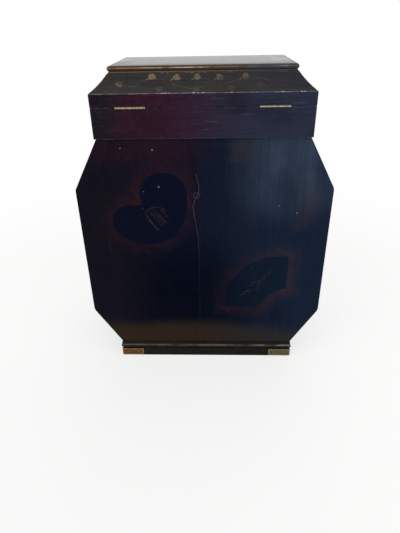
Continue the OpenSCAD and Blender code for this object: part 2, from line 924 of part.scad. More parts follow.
cap_knob(1);  // right_cap_knob
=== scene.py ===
"""Lacquered tea caddy: softened boards, raised ornament, finishes, light and camera.

Sizes in the classes are millimetres in the caddy's own frame: X to the right seen from the hinged
back, Y towards the lock, Z up from the ground. Meshes are made in metres.
"""

import logging
import math
from dataclasses import dataclass
from enum import Enum
from functools import reduce
from typing import Callable, Iterable, Sequence

import bmesh
import bpy
from mathutils import Matrix, Vector


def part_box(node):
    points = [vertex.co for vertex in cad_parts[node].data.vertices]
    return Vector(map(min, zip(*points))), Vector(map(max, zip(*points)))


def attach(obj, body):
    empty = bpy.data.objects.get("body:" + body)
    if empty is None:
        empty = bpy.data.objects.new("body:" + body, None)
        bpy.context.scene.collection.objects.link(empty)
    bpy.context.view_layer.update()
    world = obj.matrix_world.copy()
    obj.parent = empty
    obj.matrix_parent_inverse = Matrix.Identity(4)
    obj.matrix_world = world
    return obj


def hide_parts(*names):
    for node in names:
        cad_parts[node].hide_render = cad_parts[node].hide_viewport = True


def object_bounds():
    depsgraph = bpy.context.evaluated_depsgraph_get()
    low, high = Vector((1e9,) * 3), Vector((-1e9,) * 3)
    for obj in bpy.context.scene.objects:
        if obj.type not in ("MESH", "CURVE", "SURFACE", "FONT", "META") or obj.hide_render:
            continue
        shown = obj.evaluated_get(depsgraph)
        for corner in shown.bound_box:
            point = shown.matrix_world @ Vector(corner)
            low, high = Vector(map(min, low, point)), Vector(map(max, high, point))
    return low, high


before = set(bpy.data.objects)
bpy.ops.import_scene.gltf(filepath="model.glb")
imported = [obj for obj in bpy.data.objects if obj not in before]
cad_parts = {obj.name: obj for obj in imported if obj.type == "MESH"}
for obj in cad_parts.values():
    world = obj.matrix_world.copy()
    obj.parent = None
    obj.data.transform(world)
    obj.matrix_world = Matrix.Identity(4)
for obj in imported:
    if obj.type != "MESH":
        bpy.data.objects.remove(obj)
CAD_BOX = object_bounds()

LOG = logging.getLogger("caddy")
MM = 0.001
UP = Vector((0.0, 0.0, 1.0))
# Distances in metres under which two mesh points count as one, and a point lies on a cutting plane
TOUCH = 2e-6
ON_PLANE = 1e-7
# Angles in degrees: from which an edge is an arris, from which shading breaks at it, and up to which
# faces of a CAD mesh lie in one plane
ARRIS_ANGLE = 25.0
CREASE_ANGLE = 32.0
FLAT_ANGLE = 0.4
# Faces across a rounded arris, and wear of the faces beside it, as a share of the arris's own
ARRIS_FACES = 4
BESIDE_ARRIS = 0.35
# Steps of a soft path from one of its points to the next, sides of a raised stroke, and its width at
# the ends over the one at its middle
PATH_STEPS = 5
STROKE_SIDES = 6
STROKE_TIP = 0.35
# Faces of a petal round its outline and from top to foot, and how much its outer half is broadened
PETAL_FACES = (10, 6)
PETAL_TAPER = 0.2

Mesh = bmesh.types.BMesh
Edge = bmesh.types.BMEdge
Vert = bmesh.types.BMVert
Material = bpy.types.Material
Socket = bpy.types.NodeSocket
Colour = str | Socket
Pair = tuple[float, float]
Triple = tuple[float, float, float]
# Soft bounds, each as (place where it is 0, place where it is 1) or with the least it leaves as well
Bounds = tuple[tuple[float, ...], ...]
# A skin places (right, up) on a surface, as the metre frame of a small part that lies there
Skin = Callable[[float, float], Matrix]


class Body(Enum):
    """Bodies of the frame that new pieces ride on."""

    CASE = "case"
    LID = "lid"


class Slot(Enum):
    """Material slots of the record."""

    BLACK = "black_lacquer"
    PANEL = "panel_lacquer"
    COVE = "cove_lacquer"
    TOP = "top_lacquer"


class Side(Enum):
    """Sides of a rectangular frame, each with its turn about Z in degrees."""

    BACK = 0
    RIGHT = 90
    FRONT = 180
    LEFT = 270

    @property
    def label(self) -> str:
        """Name of the side, as the nodes spell it."""
        return self.name.lower()

    @property
    def outward(self) -> Vector:
        """Unit vector that points out of this side."""
        return Matrix.Rotation(math.radians(self.value), 3, "Z") @ Vector((0.0, -1.0, 0.0))

    @property
    def along(self) -> Vector:
        """Unit vector to the right, seen from outside this side."""
        return UP.cross(self.outward)

    def extents(self, half: Vector) -> Pair:
        """Distance of this side's face from the middle and half its length, from half extents."""
        return (half.y, half.x) if self in (Side.BACK, Side.FRONT) else (half.x, half.y)


# ---- Shader nodes ----


def linear(text: str) -> tuple[float, float, float, float]:
    """Turns a colour such as "#1a2b3c" into the linear values that shaders take.

    Args:
        text: The colour, as two hexadecimal digits a channel.

    Returns:
        Red, green, blue and an alpha of 1.
    """
    parts = [int(text[i:i + 2], 16) / 255 for i in (1, 3, 5)]
    red, green, blue = (c / 12.92 if c <= 0.04045 else ((c + 0.055) / 1.055) ** 2.4 for c in parts)
    return red, green, blue, 1.0


def operator(operation: str, reflected: bool = False) -> Callable[..., "Signal"]:
    """Makes a method of Signal that adds a Math node.

    Args:
        operation: The node's operation.
        reflected: Whether the signal comes last, as in 1 - mask.

    Returns:
        The method, which takes the other inputs.
    """

    def method(signal: "Signal", *others: "Signal | float") -> "Signal":
        """Applies the operation."""
        values = (*others, signal) if reflected else (signal, *others)
        return signal.bench.signal("ShaderNodeMath", {"operation": operation}, dict(enumerate(values)))

    return method


class Signal:
    """A number that varies over a surface: an output socket with arithmetic."""

    def __init__(self, bench: "Bench", socket: Socket) -> None:
        """Wraps a socket of a bench's tree."""
        self.bench = bench
        self.socket = socket

    __add__, __radd__ = operator("ADD"), operator("ADD", True)
    __sub__, __rsub__ = operator("SUBTRACT"), operator("SUBTRACT", True)
    __mul__, __rmul__ = operator("MULTIPLY"), operator("MULTIPLY", True)
    __abs__ = operator("ABSOLUTE")
    least, most, soft_most = operator("MINIMUM"), operator("MAXIMUM"), operator("SMOOTH_MAX")

    def ramp(self, nought: float, full: float) -> "Signal":
        """Goes smoothly from 0 at one value to 1 at the other, which may be the smaller."""
        inputs = {"Value": self, "From Min": nought, "From Max": full}
        return self.bench.signal("ShaderNodeMapRange", {"interpolation_type": "SMOOTHSTEP"}, inputs)

    def above(self, least: float) -> "Signal":
        """Squeezes what runs from 0 to 1 into the range from least to 1."""
        return least + (1 - least) * self


class Bench:
    """Adds nodes to the emptied tree of a material or of the world."""

    def __init__(self, owner: Material | bpy.types.World) -> None:
        """Takes over the owner's tree.

        Args:
            owner: The new material or world.
        """
        owner.use_nodes = True
        self.tree = owner.node_tree
        self.tree.nodes.clear()

    def node(self, kind: str, settings: dict | None = None, inputs: dict | None = None) -> bpy.types.Node:
        """Adds any node.

        Args:
            kind: The node's type.
            settings: Its properties, set first.
            inputs: Values or links of its sockets, by name or number.

        Returns:
            The node.
        """
        node = self.tree.nodes.new(kind)
        for key, value in (settings or {}).items():
            setattr(node, key, value)
        for key, value in (inputs or {}).items():
            self.feed(node.inputs[key], value)
        return node

    def signal(self, kind: str, settings: dict, inputs: dict, output: int | str = 0) -> Signal:
        """Adds any node and takes one of its outputs as a number."""
        return Signal(self, self.node(kind, settings, inputs).outputs[output])

    def feed(self, socket: Socket, value: object) -> None:
        """Feeds a socket.

        Args:
            socket: The socket.
            value: A link, or a number, a colour or a point that it is set to.
        """
        value = value.socket if isinstance(value, Signal) else value
        if isinstance(value, Socket):
            self.tree.links.new(value, socket)
        else:
            socket.default_value = linear(value) if isinstance(value, str) else value

    def vector(self, operation: str, *values: object, **named: object) -> Socket:
        """Adds a Vector Math node and returns its vector."""
        inputs = {**dict(enumerate(values)), **named}
        return self.node("ShaderNodeVectorMath", {"operation": operation}, inputs).outputs["Vector"]

    def blend(self, factor: Signal | float, under: Colour, over: Colour) -> Socket:
        """Shows as much of the upper colour over the lower one as the factor says."""
        inputs = {"Factor": factor, 6: under, 7: over}
        return self.node("ShaderNodeMix", {"data_type": "RGBA"}, inputs).outputs[2]


class Coat(Bench):
    """Adds the nodes of one new material, with a Principled shader at its end."""

    # Seeds of the noises that every coat may have, and the level of dust patches that are full
    SCRATCH_SEED, SCRATCHED_SEED, DUST_SEED, FLECK_SEED = 5, 4, 6, 21
    DUST_FULL = 0.75
    FLECK = "#6a6870"

    def __init__(self, name: str) -> None:
        """Makes the material, its coordinates in millimetres and its first colour.

        Args:
            name: The material's name.
        """
        self.material = bpy.data.materials.new(name)
        super().__init__(self.material)
        self.shader = self.node("ShaderNodeBsdfPrincipled")
        self.node("ShaderNodeOutputMaterial", {}, {"Surface": self.shader.outputs[0]})
        place = self.node("ShaderNodeTexCoord").outputs["Object"]
        self.place = self.vector("SCALE", place, Scale=1 / MM)
        split = self.node("ShaderNodeSeparateXYZ", {}, {0: self.place})
        self.x, self.y, self.z = (Signal(self, socket) for socket in split.outputs)
        # To the right, seen from outside
        self.right = self.x
        self.colour: Colour = "#000000"

    def lay(self, mask: Signal, colour: Colour, share: float = 1.0) -> None:
        """Lays a share of a colour over the colours so far, where a mask is 1."""
        self.colour = self.blend(mask if share == 1.0 else mask * share, self.colour, colour)

    def noise(self, size: float, stretch: Triple = (1, 1, 1), detail: float = 2, seed: float = 0) -> Signal:
        """Adds cloudy noise.

        Args:
            size: Size of its patches in millimetres.
            stretch: How many times longer the patches are along each axis.
            detail: Octaves of finer noise.
            seed: Picks another part of the noise.

        Returns:
            Values around 0.5.
        """
        place = self.vector("MULTIPLY", self.place, tuple(1 / s for s in stretch))
        inputs = {"Vector": place, "W": seed, "Scale": 1 / size, "Detail": detail}
        return self.signal("ShaderNodeTexNoise", {"noise_dimensions": "4D"}, inputs)

    def sway(self, amount: Signal | float, size: float, **noise: object) -> Signal:
        """Adds noise that swings about 0, up to about half an amount either way."""
        return (self.noise(size, **noise) - 0.5) * amount

    def fleck(self, share: float) -> None:
        """Lays fine pale flecks."""
        fleck = self.noise(2.0, stretch=(1.5, 1.5, 1), detail=4, seed=self.FLECK_SEED).ramp(0.5, 0.66)
        self.lay(fleck, self.FLECK, share)

    def dust(self, spacing: float, radius: float, patch: float, low: float) -> Signal:
        """Adds small round specks in patches.

        Args:
            spacing: Rough distance between neighbours in millimetres.
            radius: Radius of the largest in millimetres.
            patch: Size of the patches in millimetres.
            low: Level of their noise from which there are specks.

        Returns:
            1 in a speck.
        """
        share = self.noise(patch, detail=1, seed=self.DUST_SEED).ramp(low, self.DUST_FULL)
        inputs = {"Vector": self.place, "Scale": 1 / spacing}
        near = self.signal("ShaderNodeTexVoronoi", {}, inputs, "Distance")
        return (near - share * (radius / spacing)).ramp(0.02, -0.01) * share.ramp(0.0, 0.1)

    def scratches(self, size: float, stretch: Triple, width: float, patch: float, levels: Pair) -> Signal:
        """Adds long thin wandering scratches in patches.

        Args:
            size: Rough distance between scratches in millimetres.
            stretch: How many times longer their waves are along each axis.
            width: Width of a scratch, as a share of that distance.
            patch: Size of the patches in millimetres.
            levels: Levels of their noise where they start and where they are full.

        Returns:
            1 in a scratch.
        """
        off = self.sway(1.0, size=size, stretch=stretch, detail=0, seed=self.SCRATCH_SEED)
        return abs(off).ramp(width, 0.0) * self.noise(patch, seed=self.SCRATCHED_SEED).ramp(*levels)

    def far(self, right: Signal, point: Pair) -> Signal:
        """Measures how far it is to a point.

        Args:
            right: Place to the right.
            point: The point, as (right, up).

        Returns:
            The distance in millimetres.
        """
        spot = self.node("ShaderNodeCombineXYZ", {}, {0: right, 2: self.z}).outputs[0]
        inputs = {0: spot, 1: (point[0], 0.0, point[1])}
        return self.signal("ShaderNodeVectorMath", {"operation": "DISTANCE"}, inputs, "Value")

    def outside(self, circle: Triple) -> Signal:
        """Distance outside a circle given as (right, up, radius), negative inside it."""
        return self.far(self.right, circle[:2]) - circle[2]

    def zone(self, right: Bounds = (), up: Bounds = ()) -> Signal:
        """Marks out a soft-edged field.

        Args:
            right: Its bounds to the right.
            up: Its bounds upwards.

        Returns:
            1 inside all the bounds.
        """
        masks = []
        for along, bounds in ((self.right, right), (self.z, up)):
            for nought, full, *least in bounds:
                mask = along.ramp(nought, full)
                masks.append(mask.above(*least) if least else mask)
        return reduce(Signal.__mul__, masks)

    def path(self, along: Signal, points: Sequence[Pair]) -> Signal:
        """Follows a soft line through points.

        Args:
            along: Where on the line, in millimetres.
            points: Pairs of a place along the line and the line's offset there, in order.

        Returns:
            The offset in millimetres.
        """
        start, end = points[0][0], points[-1][0]
        least = min(offset for _, offset in points)
        span = max(offset for _, offset in points) - least
        node = self.node("ShaderNodeValToRGB", {}, {0: (along - start) * (1 / (end - start))})
        ramp = node.color_ramp
        ramp.interpolation = "CARDINAL"
        while len(ramp.elements) < len(points):
            ramp.elements.new(0.5)
        for stop, (place, offset) in zip(ramp.elements, points):
            stop.position = (place - start) / (end - start)
            level = (offset - least) / span
            stop.color = (level, level, level, 1.0)
        return Signal(self, node.outputs[0]) * span + least

    def attribute(self, name: str) -> Signal:
        """A number that the mesh carries."""
        return self.signal("ShaderNodeAttribute", {"attribute_name": name}, {}, "Fac")

    def finish(self, roughness: Signal | float, relief: Signal, depth: float, **fixed: float) -> None:
        """Feeds the shader with the colours laid so far and the rest.

        Args:
            roughness: Roughness.
            relief: Height from 0 to 1.
            depth: Height of 1 in millimetres.
            **fixed: Other sockets, with _ for a space, which stay the same all over.
        """
        bump = self.node("ShaderNodeBump", {}, {"Height": relief, "Distance": depth * MM}).outputs[0]
        named = {name.replace("_", " "): value for name, value in fixed.items()}
        inputs = {"Base Color": self.colour, "Roughness": roughness, "Normal": bump, **named}
        for name, value in inputs.items():
            self.feed(self.shader.inputs[name], value)


# ---- Finishes ----


@dataclass(frozen=True)
class Finish:
    """A finish with a material of its own."""

    name: str

    def paint(self, coat: Coat) -> None:
        """Lays the finish on a coat."""
        raise NotImplementedError

    def material(self) -> Material:
        """Builds the material.

        Returns:
            The material.
        """
        coat = Coat(self.name)
        self.paint(coat)
        return coat.material


@dataclass(frozen=True)
class Lacquer(Finish):
    """Black lacquer over wood, tinted from left to right, rubbed through along its arrises. On the neck,
    rim and coves the tint is a painted reflection of the room, and a moulding may carry a painted highlight
    line.
    """

    # Colours at the left and at the right; on the neck, rim and coves they are a painted reflection of the
    # room
    left: str
    right: str
    # Colour at the left-hand end, of the darker clouds and streaks, and where it is rubbed through
    end: str = "#12111a"
    deep: str = "#08070b"
    worn: str = "#85796a"
    scratch: str = "#7b7480"
    speck: str = "#8a8088"
    # Stretches along X over which the tint turns, and over which the left-hand end sets in
    turn: Pair = (-45.0, 60.0)
    end_reach: Pair = (-56.0, -90.0)
    grain: Triple = (22.0, 22.0, 1.0)
    # How strongly the streaks show
    figure: float = 0.35
    roughness: float = 0.3
    specular: float = 0.05
    # Wear that all of an arris has, which on the coves is a painted highlight line, and size of the spots
    # where it is rubbed through
    steady: float = 0.1
    rub_size: float = 2.2
    # Stretches along X where the arrises are rubbed through, as (middle, half length), or all of them
    rubbed: tuple[Pair, ...] = ()
    # Scratches along X: (middle, height, half length)
    scores: tuple[Triple, ...] = ()
    # Height of a painted highlight line along a moulding, laid in the worn colour, with half its width, or
    # None, and where it is brighter
    gleam: Pair | None = None
    brighter: Pair = (40.0, 75.0)

    def rub(self, coat: Coat) -> Signal:
        """Rubs the lacquer off along its arrises, and paints a highlight line along a moulding.

        Args:
            coat: The coat to add to.

        Returns:
            1 where it is rubbed off or painted bright.
        """
        spots = coat.noise(self.rub_size, stretch=(1.8, 1.8, 1), detail=4, seed=7).ramp(0.44, 0.58)
        if self.rubbed:
            spans = (abs(coat.x - x).ramp(reach, 0.6 * reach) for x, reach in self.rubbed)
            spots = spots * reduce(Signal.most, spans)
        rub = coat.attribute("wear") * spots.above(self.steady)
        if self.gleam:
            level, reach = self.gleam
            broken = coat.noise(2.4, stretch=(6, 6, 1), detail=4, seed=8).ramp(0.36, 0.62)
            strength = (0.12 + 0.5 * broken) * (0.85 + 0.5 * coat.x.ramp(*self.brighter))
            rub = rub.most(abs(coat.z - level).ramp(reach, 0.3 * reach) * strength)
        return rub

    def scored(self, coat: Coat) -> Signal:
        """Scratches the lacquer, here and there and at set places.

        Args:
            coat: The coat to add to.

        Returns:
            1 in a scratch.
        """
        scratch = coat.scratches(9, self.grain, width=0.006, patch=24, levels=(0.56, 0.7))
        sway = coat.sway(2.4, size=9, seed=18)
        for x, level, reach in self.scores:
            across = abs(coat.z - level + sway).ramp(0.42, 0.12)
            scratch = scratch.most(across * abs(coat.x - x).ramp(reach, 0.3 * reach) * 1.3)
        return scratch

    def paint(self, coat: Coat) -> None:
        """Lays the lacquer on a coat.

        Args:
            coat: The coat to lay it on.
        """
        coat.colour = coat.blend(coat.x.ramp(*self.turn), self.left, self.right)
        coat.lay(coat.x.ramp(*self.end_reach), self.end, 0.85)
        cloud = coat.noise(34, stretch=(1.6, 1.6, 1), detail=3)
        coat.lay(cloud.ramp(0.48, 0.75), self.deep, 0.5)
        streak = coat.noise(1.5, stretch=self.grain, detail=3, seed=2)
        coat.lay(streak.ramp(0.46, 0.72), self.deep, self.figure)
        coat.fleck(0.035)
        scratch = self.scored(coat)
        coat.lay(scratch, self.scratch, 0.12)
        coat.lay(coat.dust(9, radius=0.6, patch=17, low=0.54), self.speck, 0.16)
        rub = self.rub(coat)
        # The worn colour also paints a moulding's highlight line
        coat.lay(rub, self.worn)
        roughness = self.roughness + 0.16 * (cloud - 0.5) + 0.2 * rub
        relief = streak - scratch * 0.6
        coat.finish(roughness, relief, depth=0.05, Specular_IOR_Level=self.specular)


@dataclass(frozen=True)
class Wash:
    """A soft-edged painted reflection: its colour, its share, its bounds, and the least that the veil
    leaves.
    """

    colour: str
    share: float
    right: Bounds
    up: Bounds = ()
    veiled: float = 1.0


@dataclass(frozen=True)
class PanelLacquer(Finish):
    """Lacquer of an octagonal panel, with two ghosted reserves, a crack drawn with a painted highlight,
    painted reflections of the room, and a painted reflection of a brown floor on its foot.

    Places are (right, up) in millimetres, seen from outside the panel.
    """

    # 1 where right is along X, and -1 where it is against X
    hand: int
    cracked: bool = True
    # Ground from left to right, then clouds and streaks, the crack's painted highlight, scratches, dust,
    # chips and worn arrises
    soot: str = "#110f19"
    ink: str = "#0a0e20"
    deep: str = "#000412"
    split: str = "#5d5a64"
    scratch: str = "#7b7f8c"
    speck: str = "#8a8890"
    chip: str = "#a39fa6"
    worn: str = "#6b6257"
    ink_reach: Pair = (-85.0, -25.0)
    # Painted reflections of the room: navy to the right and beyond the crack, a slate highlight to the
    # upper right, wine at the top, and darker navy below
    washes: tuple[Wash, ...] = (
        Wash("#141f32", 1.0, ((-8, 70),)),
        Wash("#141f32", 0.3, ((-5.8, -5.0), (60, 0))),
        Wash("#343f50", 1.0, ((14, 74), (118, 90, 0.5)), ((150, 206),), 0.35),
        Wash("#23131f", 1.0, ((22, -30), (-112, -82)), ((202, 234),), 0.5),
        Wash("#000412", 0.85, ((-97, -37), (53, -7)), ((165, 95),)),
        Wash("#000412", 0.45, ((0, 30), (110, 30)), ((120, 70),)),
    )
    # Round lobes of the heart-shaped reserve: (right, up, radius)
    lobes: tuple[Triple, ...] = ((-36.9, 187.9, 21.7), (-68.5, 161.2, 17.9), (-59.5, 161.0, 18.0))
    # Circles that bound the body under the lobes on its right and below
    flanks: tuple[Triple, ...] = ((-66.7, 180.8, 51.5), (-42.8, 197.3, 62.1))
    # Distance over which the flanks run into each other
    blunt: float = 24.0
    # Fan-shaped reserve: its outer and inner circles, its lower and its right-hand edge
    fan_outer: Triple = (74.2, 70.9, 53.8)
    fan_inner: Triple = (91.1, 48.8, 40.4)
    fan_low: float = 65.0
    fan_right: float = 82.5
    # Colours inside the reserves, from left to right
    reserve: tuple[str, str] = ("#050a1e", "#0c1828")
    # Worn halo round the reserves: its colours, its width, how ragged it is, and from where to where
    # the heart's side gives way to the fan's
    rust: str = "#3e1f21"
    umber: str = "#3a2b2d"
    halo: float = 16.0
    ragged: float = 20.0
    parting: Pair = (-10.0, 10.0)
    # Middles of a rubbed patch and of a ring-shaped ghost, and the ring's radius
    olive: str = "#37322a"
    patch: Pair = (26.0, 228.0)
    ghost: Pair = (76.0, 176.0)
    ghost_radius: float = 22.0
    # Reddish line under the neck: its colour, its height, and its middle along the panel
    line: str = "#3c2428"
    line_level: float = 234.5
    line_middle: float = 8.0
    # Painted reflection of a brown floor on the panel's foot: its colours on the left and on the right, and
    # the height of its upper edge
    earth: str = "#32261b"
    clay: str = "#2b2a28"
    foot_line: float = 49.0
    # Pale chips: (right, up, radius)
    chips: tuple[Triple, ...] = (
        (-72.2, 231.4, 0.5), (-44.3, 229.8, 0.75), (-40.7, 196.2, 0.75), (-54.8, 191.9, 0.4),
        (86.2, 170.2, 0.6), (69.5, 177.5, 0.45),
    )
    # Crack: (up, right) along its path, its width, and the ring on it as (right, up, radius)
    crack_path: tuple[Pair, ...] = (
        (19.0, -6.2), (73.0, -5.3), (132.0, -5.2), (153.0, -6.7), (176.0, -9.4),
        (184.5, -7.6), (191.0, -4.0), (197.0, -4.3), (208.5, -6.9),
    )
    crack_width: float = 0.5
    crack_ring: Triple = (-6.6, 187.8, 2.6)
    # Heights over which the crack starts to wander and over which it grows plain
    wander: Pair = (150.0, 185.0)
    plain: Pair = (110.0, 180.0)
    # How many times longer than wide the waves are that differ along the crack alone
    level_waves: Triple = (1000.0, 1000.0, 1.0)

    def heart(self, coat: Coat) -> Signal:
        """Draws the heart-shaped reserve.

        Args:
            coat: The coat to add to.

        Returns:
            Distance outside it.
        """
        first, second = map(coat.outside, self.flanks)
        (x_top, z_top, _), (x_low, z_low, _) = self.lobes[:2]
        across = Vector((z_top - z_low, x_low - x_top)).normalized()
        beyond = (coat.right - x_top) * across.x + (coat.z - z_top) * across.y
        body = first.soft_most(second, self.blunt).most(0 - beyond)
        return reduce(Signal.least, map(coat.outside, self.lobes), body)

    def fan(self, coat: Coat) -> Signal:
        """Distance outside the fan-shaped reserve."""
        arcs = coat.outside(self.fan_outer).most(0 - coat.outside(self.fan_inner))
        return arcs.most(self.fan_low - coat.z).most(coat.right - self.fan_right)

    def crack(self, coat: Coat) -> Signal:
        """Draws the wandering vertical crack and the small ring on it.

        Args:
            coat: The coat to add to.

        Returns:
            1 in the crack, less where it is faint.
        """
        amount = 0.8 + 2.5 * coat.z.ramp(*self.wander)
        sway = coat.sway(amount, size=7, stretch=self.level_waves, seed=11)
        offset = coat.path(coat.z, self.crack_path) + sway
        line = abs(coat.right - offset).ramp(self.crack_width, 0.3 * self.crack_width)
        ring = abs(coat.outside(self.crack_ring)).ramp(0.6, 0.1)
        broken = coat.noise(11, stretch=self.level_waves, seed=12).ramp(0.3, 0.5)
        fade = coat.z.ramp(*self.plain).above(0.18)
        top = self.crack_path[-1][0]
        return (line * fade * broken.above(0.5)).most(ring * 0.7) * coat.z.ramp(top + 2, top - 3)

    def lay_ground(self, coat: Coat) -> None:
        """Lays the plain lacquer and the painted reflections on it.

        Args:
            coat: The coat to lay it on.
        """
        coat.colour = coat.blend(coat.right.ramp(*self.ink_reach), self.soot, self.ink)
        veil = coat.noise(26, stretch=(1, 1, 1.6), detail=3, seed=16).ramp(0.2, 0.6)
        for wash in self.washes:
            mask = coat.zone(wash.right, wash.up)
            mask = mask * veil.above(wash.veiled) if wash.veiled < 1 else mask
            coat.lay(mask, wash.colour, wash.share)
        coat.lay(coat.noise(1.5, stretch=(1, 1, 40), detail=3, seed=2).ramp(0.44, 0.74), self.deep, 0.24)
        coat.lay(coat.noise(30, stretch=(1, 1, 1.6), detail=3).ramp(0.5, 0.8), self.deep, 0.3)
        coat.fleck(0.01)

    def lay_reserves(self, coat: Coat, speckle: Signal) -> tuple[Signal, Signal]:
        """Lays the reserves and the worn halo round them.

        Args:
            coat: The coat to lay them on.
            speckle: 1 where the wear takes hold.

        Returns:
            1 in the halo and 1 inside the reserves.
        """
        right, up = coat.right, coat.z
        edge = self.heart(coat).least(self.fan(coat))
        inside = edge.ramp(0.6, -0.7)
        ragged = edge + coat.sway(self.ragged, size=8, detail=4, seed=8)
        # Patchy, but nearly whole at the fan's right-hand end
        uneven = coat.noise(24, seed=19).ramp(0.3, 0.62).most(right.ramp(45, 72) * 0.8)
        halo = ragged.ramp(self.halo, 0) * (1 - inside) * uneven.above(0.35)
        # Strongest over the heart, under the fan and at the fan's right-hand end
        strong = (0.5 + 0.7 * up.ramp(150, 192)) * coat.zone((self.parting[::-1], (-94, -72, 0.6)))
        beside = 0.62 + 0.33 * up.ramp(72, 62) + 0.5 * right.ramp(48, 76)
        strong = strong + beside * right.ramp(*self.parting)
        rust = coat.blend(coat.zone(right=((30, 75),), up=((62, 72),)), self.rust, self.umber)
        coat.lay(halo * speckle.above(0.3) * strong, rust, 0.7)
        coat.lay(inside, coat.blend(right.ramp(0, 60), *self.reserve), 0.7)
        return halo, inside

    def lay_stains(self, coat: Coat, speckle: Signal, grit: Signal) -> None:
        """Lays the rubbed patch, the ring-shaped ghost, the line under the neck and the painted reflection
        of a brown floor on the foot.

        Args:
            coat: The coat to lay them on.
            speckle: 1 where the wear takes hold.
            grit: Fine noise.
        """
        right, up = coat.right, coat.z
        patch = coat.far(right * 0.8, self.patch) + coat.sway(22, size=8, detail=3, seed=9)
        coat.lay(patch.ramp(15, 2) * speckle.above(0.35), self.olive, 0.5)
        ring = abs(coat.outside((*self.ghost, self.ghost_radius))) + coat.sway(14, size=9, seed=10)
        ghost = ring.ramp(11, 0) * right.ramp(78, 92)
        coat.lay(ghost * speckle.above(0.4), self.umber, 0.42)
        line = abs(up - self.line_level).ramp(1.6, 0.3) * abs(right - self.line_middle).ramp(26, 14)
        coat.lay(line * speckle, self.line, 0.2)
        # The upper edge of the painted floor reflection falls to the right and bulges up a little left of
        # the middle
        slope = coat.noise(26, detail=3, seed=13) * 9 + right.ramp(30, 110) * 9
        slope = slope - abs(right + 20).ramp(50, 5) * 2.5
        foot = (up + slope).ramp(self.foot_line + 7, self.foot_line - 12)
        coat.lay(foot * grit.above(0.65), coat.blend(right.ramp(-10, 60), self.earth, self.clay))

    def paint(self, coat: Coat) -> None:
        """Lays the lacquer on a coat.

        Args:
            coat: The coat to lay it on.
        """
        coat.right = coat.x * self.hand
        grit = coat.noise(1.3, detail=4, seed=3)
        speckle = grit.ramp(0.46, 0.6).above(0.15) * coat.noise(9, seed=17).ramp(0.3, 0.55)
        self.lay_ground(coat)
        halo, inside = self.lay_reserves(coat, speckle)
        self.lay_stains(coat, speckle, grit)
        crack = self.crack(coat) * float(self.cracked)
        # The crack is laid paler than the ground: a painted highlight on its edges
        coat.lay(crack, self.split, 0.36)
        scratch = coat.scratches(12, (2, 1, 9), width=0.004, patch=30, levels=(0.55, 0.7))
        coat.lay(scratch, self.scratch, 0.12)
        coat.lay(coat.dust(8, radius=0.5, patch=15, low=0.56), self.speck, 0.16)
        for chip in self.chips:
            coat.lay(coat.outside(chip).ramp(0.25, -0.3), self.chip, 0.45)
        rub = coat.attribute("wear") * coat.noise(2.6, stretch=(1, 1, 3), detail=4, seed=7).ramp(0.52, 0.66)
        coat.lay(rub, self.worn, 0.3)
        roughness = 0.29 + 0.06 * halo - 0.02 * inside + 0.1 * (grit - 0.5)
        relief = 0.6 * coat.noise(1.4, stretch=(1, 1, 30), seed=14) + 0.35 * halo * grit
        relief = relief - 1.4 * crack - 0.4 * inside
        coat.finish(roughness, relief, depth=0.06, Specular_IOR_Level=0.022)


@dataclass(frozen=True)
class TopLacquer(Finish):
    """Polished lacquer of the top board, with a painted reflection in brown and grey on its moulded edge
    and a painted highlight line along its nose.
    """

    black: str = "#0b0b0e"
    scratch: str = "#77737a"
    # Colours, from left to right, of the nose and of the fillet, both a painted reflection, and of the
    # painted highlight line along the nose
    brown: tuple[str, str] = ("#4b3b2c", "#45464a")
    fillet: tuple[str, str] = ("#66594d", "#45464c")
    worn: tuple[str, str, str] = ("#a07c4c", "#bcb2a6", "#8d949c")
    # Half extents of the board, and width of its nose
    half: Pair = (79.4, 44.4)
    edge: float = 3.6
    # Heights of the fillet's upper edge and of the painted highlight line
    fillet_level: float = 291.5
    rub_level: float = 294.1

    def paint(self, coat: Coat) -> None:
        """Lays the lacquer on a coat.

        Args:
            coat: The coat to lay it on.
        """
        across = (self.half[0] - abs(coat.x)).least(self.half[1] - abs(coat.y))
        nose = across.ramp(self.edge, self.edge - 1.2)
        rightward = coat.x.ramp(0, 70)
        # The nose and the fillet get a painted reflection, brown at the left and grey at the right
        coat.colour = coat.blend(nose * 0.85, self.black, coat.blend(rightward, *self.brown))
        under = coat.z.ramp(self.fillet_level, self.fillet_level - 0.2)
        coat.lay(under, coat.blend(rightward, *self.fillet))
        # Painted highlight line along the nose, tan, pale grey and bluish grey from left to right
        metal = coat.blend(coat.x.ramp(-62, -30), *self.worn[:2])
        metal = coat.blend(coat.x.ramp(10, 60), metal, self.worn[2])
        spots = coat.noise(1.8, stretch=(5, 5, 1), detail=4, seed=7).ramp(0.4, 0.56)
        line = abs(coat.z - self.rub_level).ramp(0.5, 0.1) * across.ramp(1.3, 0.7)
        share = coat.x.ramp(10, -4).above(0.22) + 0.55 * coat.x.ramp(60, 74)
        coat.lay(line * spots.above(0.15) * share, metal)
        scratch = coat.scratches(10, (5, 2, 1), width=0.005, patch=25, levels=(0.45, 0.65))
        coat.lay(scratch, self.scratch, 0.09)
        roughness = 0.11 + 0.1 * nose + 0.1 * scratch + 0.05 * coat.noise(20, seed=2)
        coat.finish(roughness, coat.noise(24, seed=15), depth=0.05, Specular_IOR_Level=0.05)


class Proud(Enum):
    """Parts of a fitting that stay bright: rubbed by hands and cloths, or a painted highlight."""

    ALL = "all"
    # A painted highlight along the outermost line of the hinge barrels, with painted shade on the rest
    BARREL = "barrel"
    # The raised border of the corner mounts
    BORDER = "border"


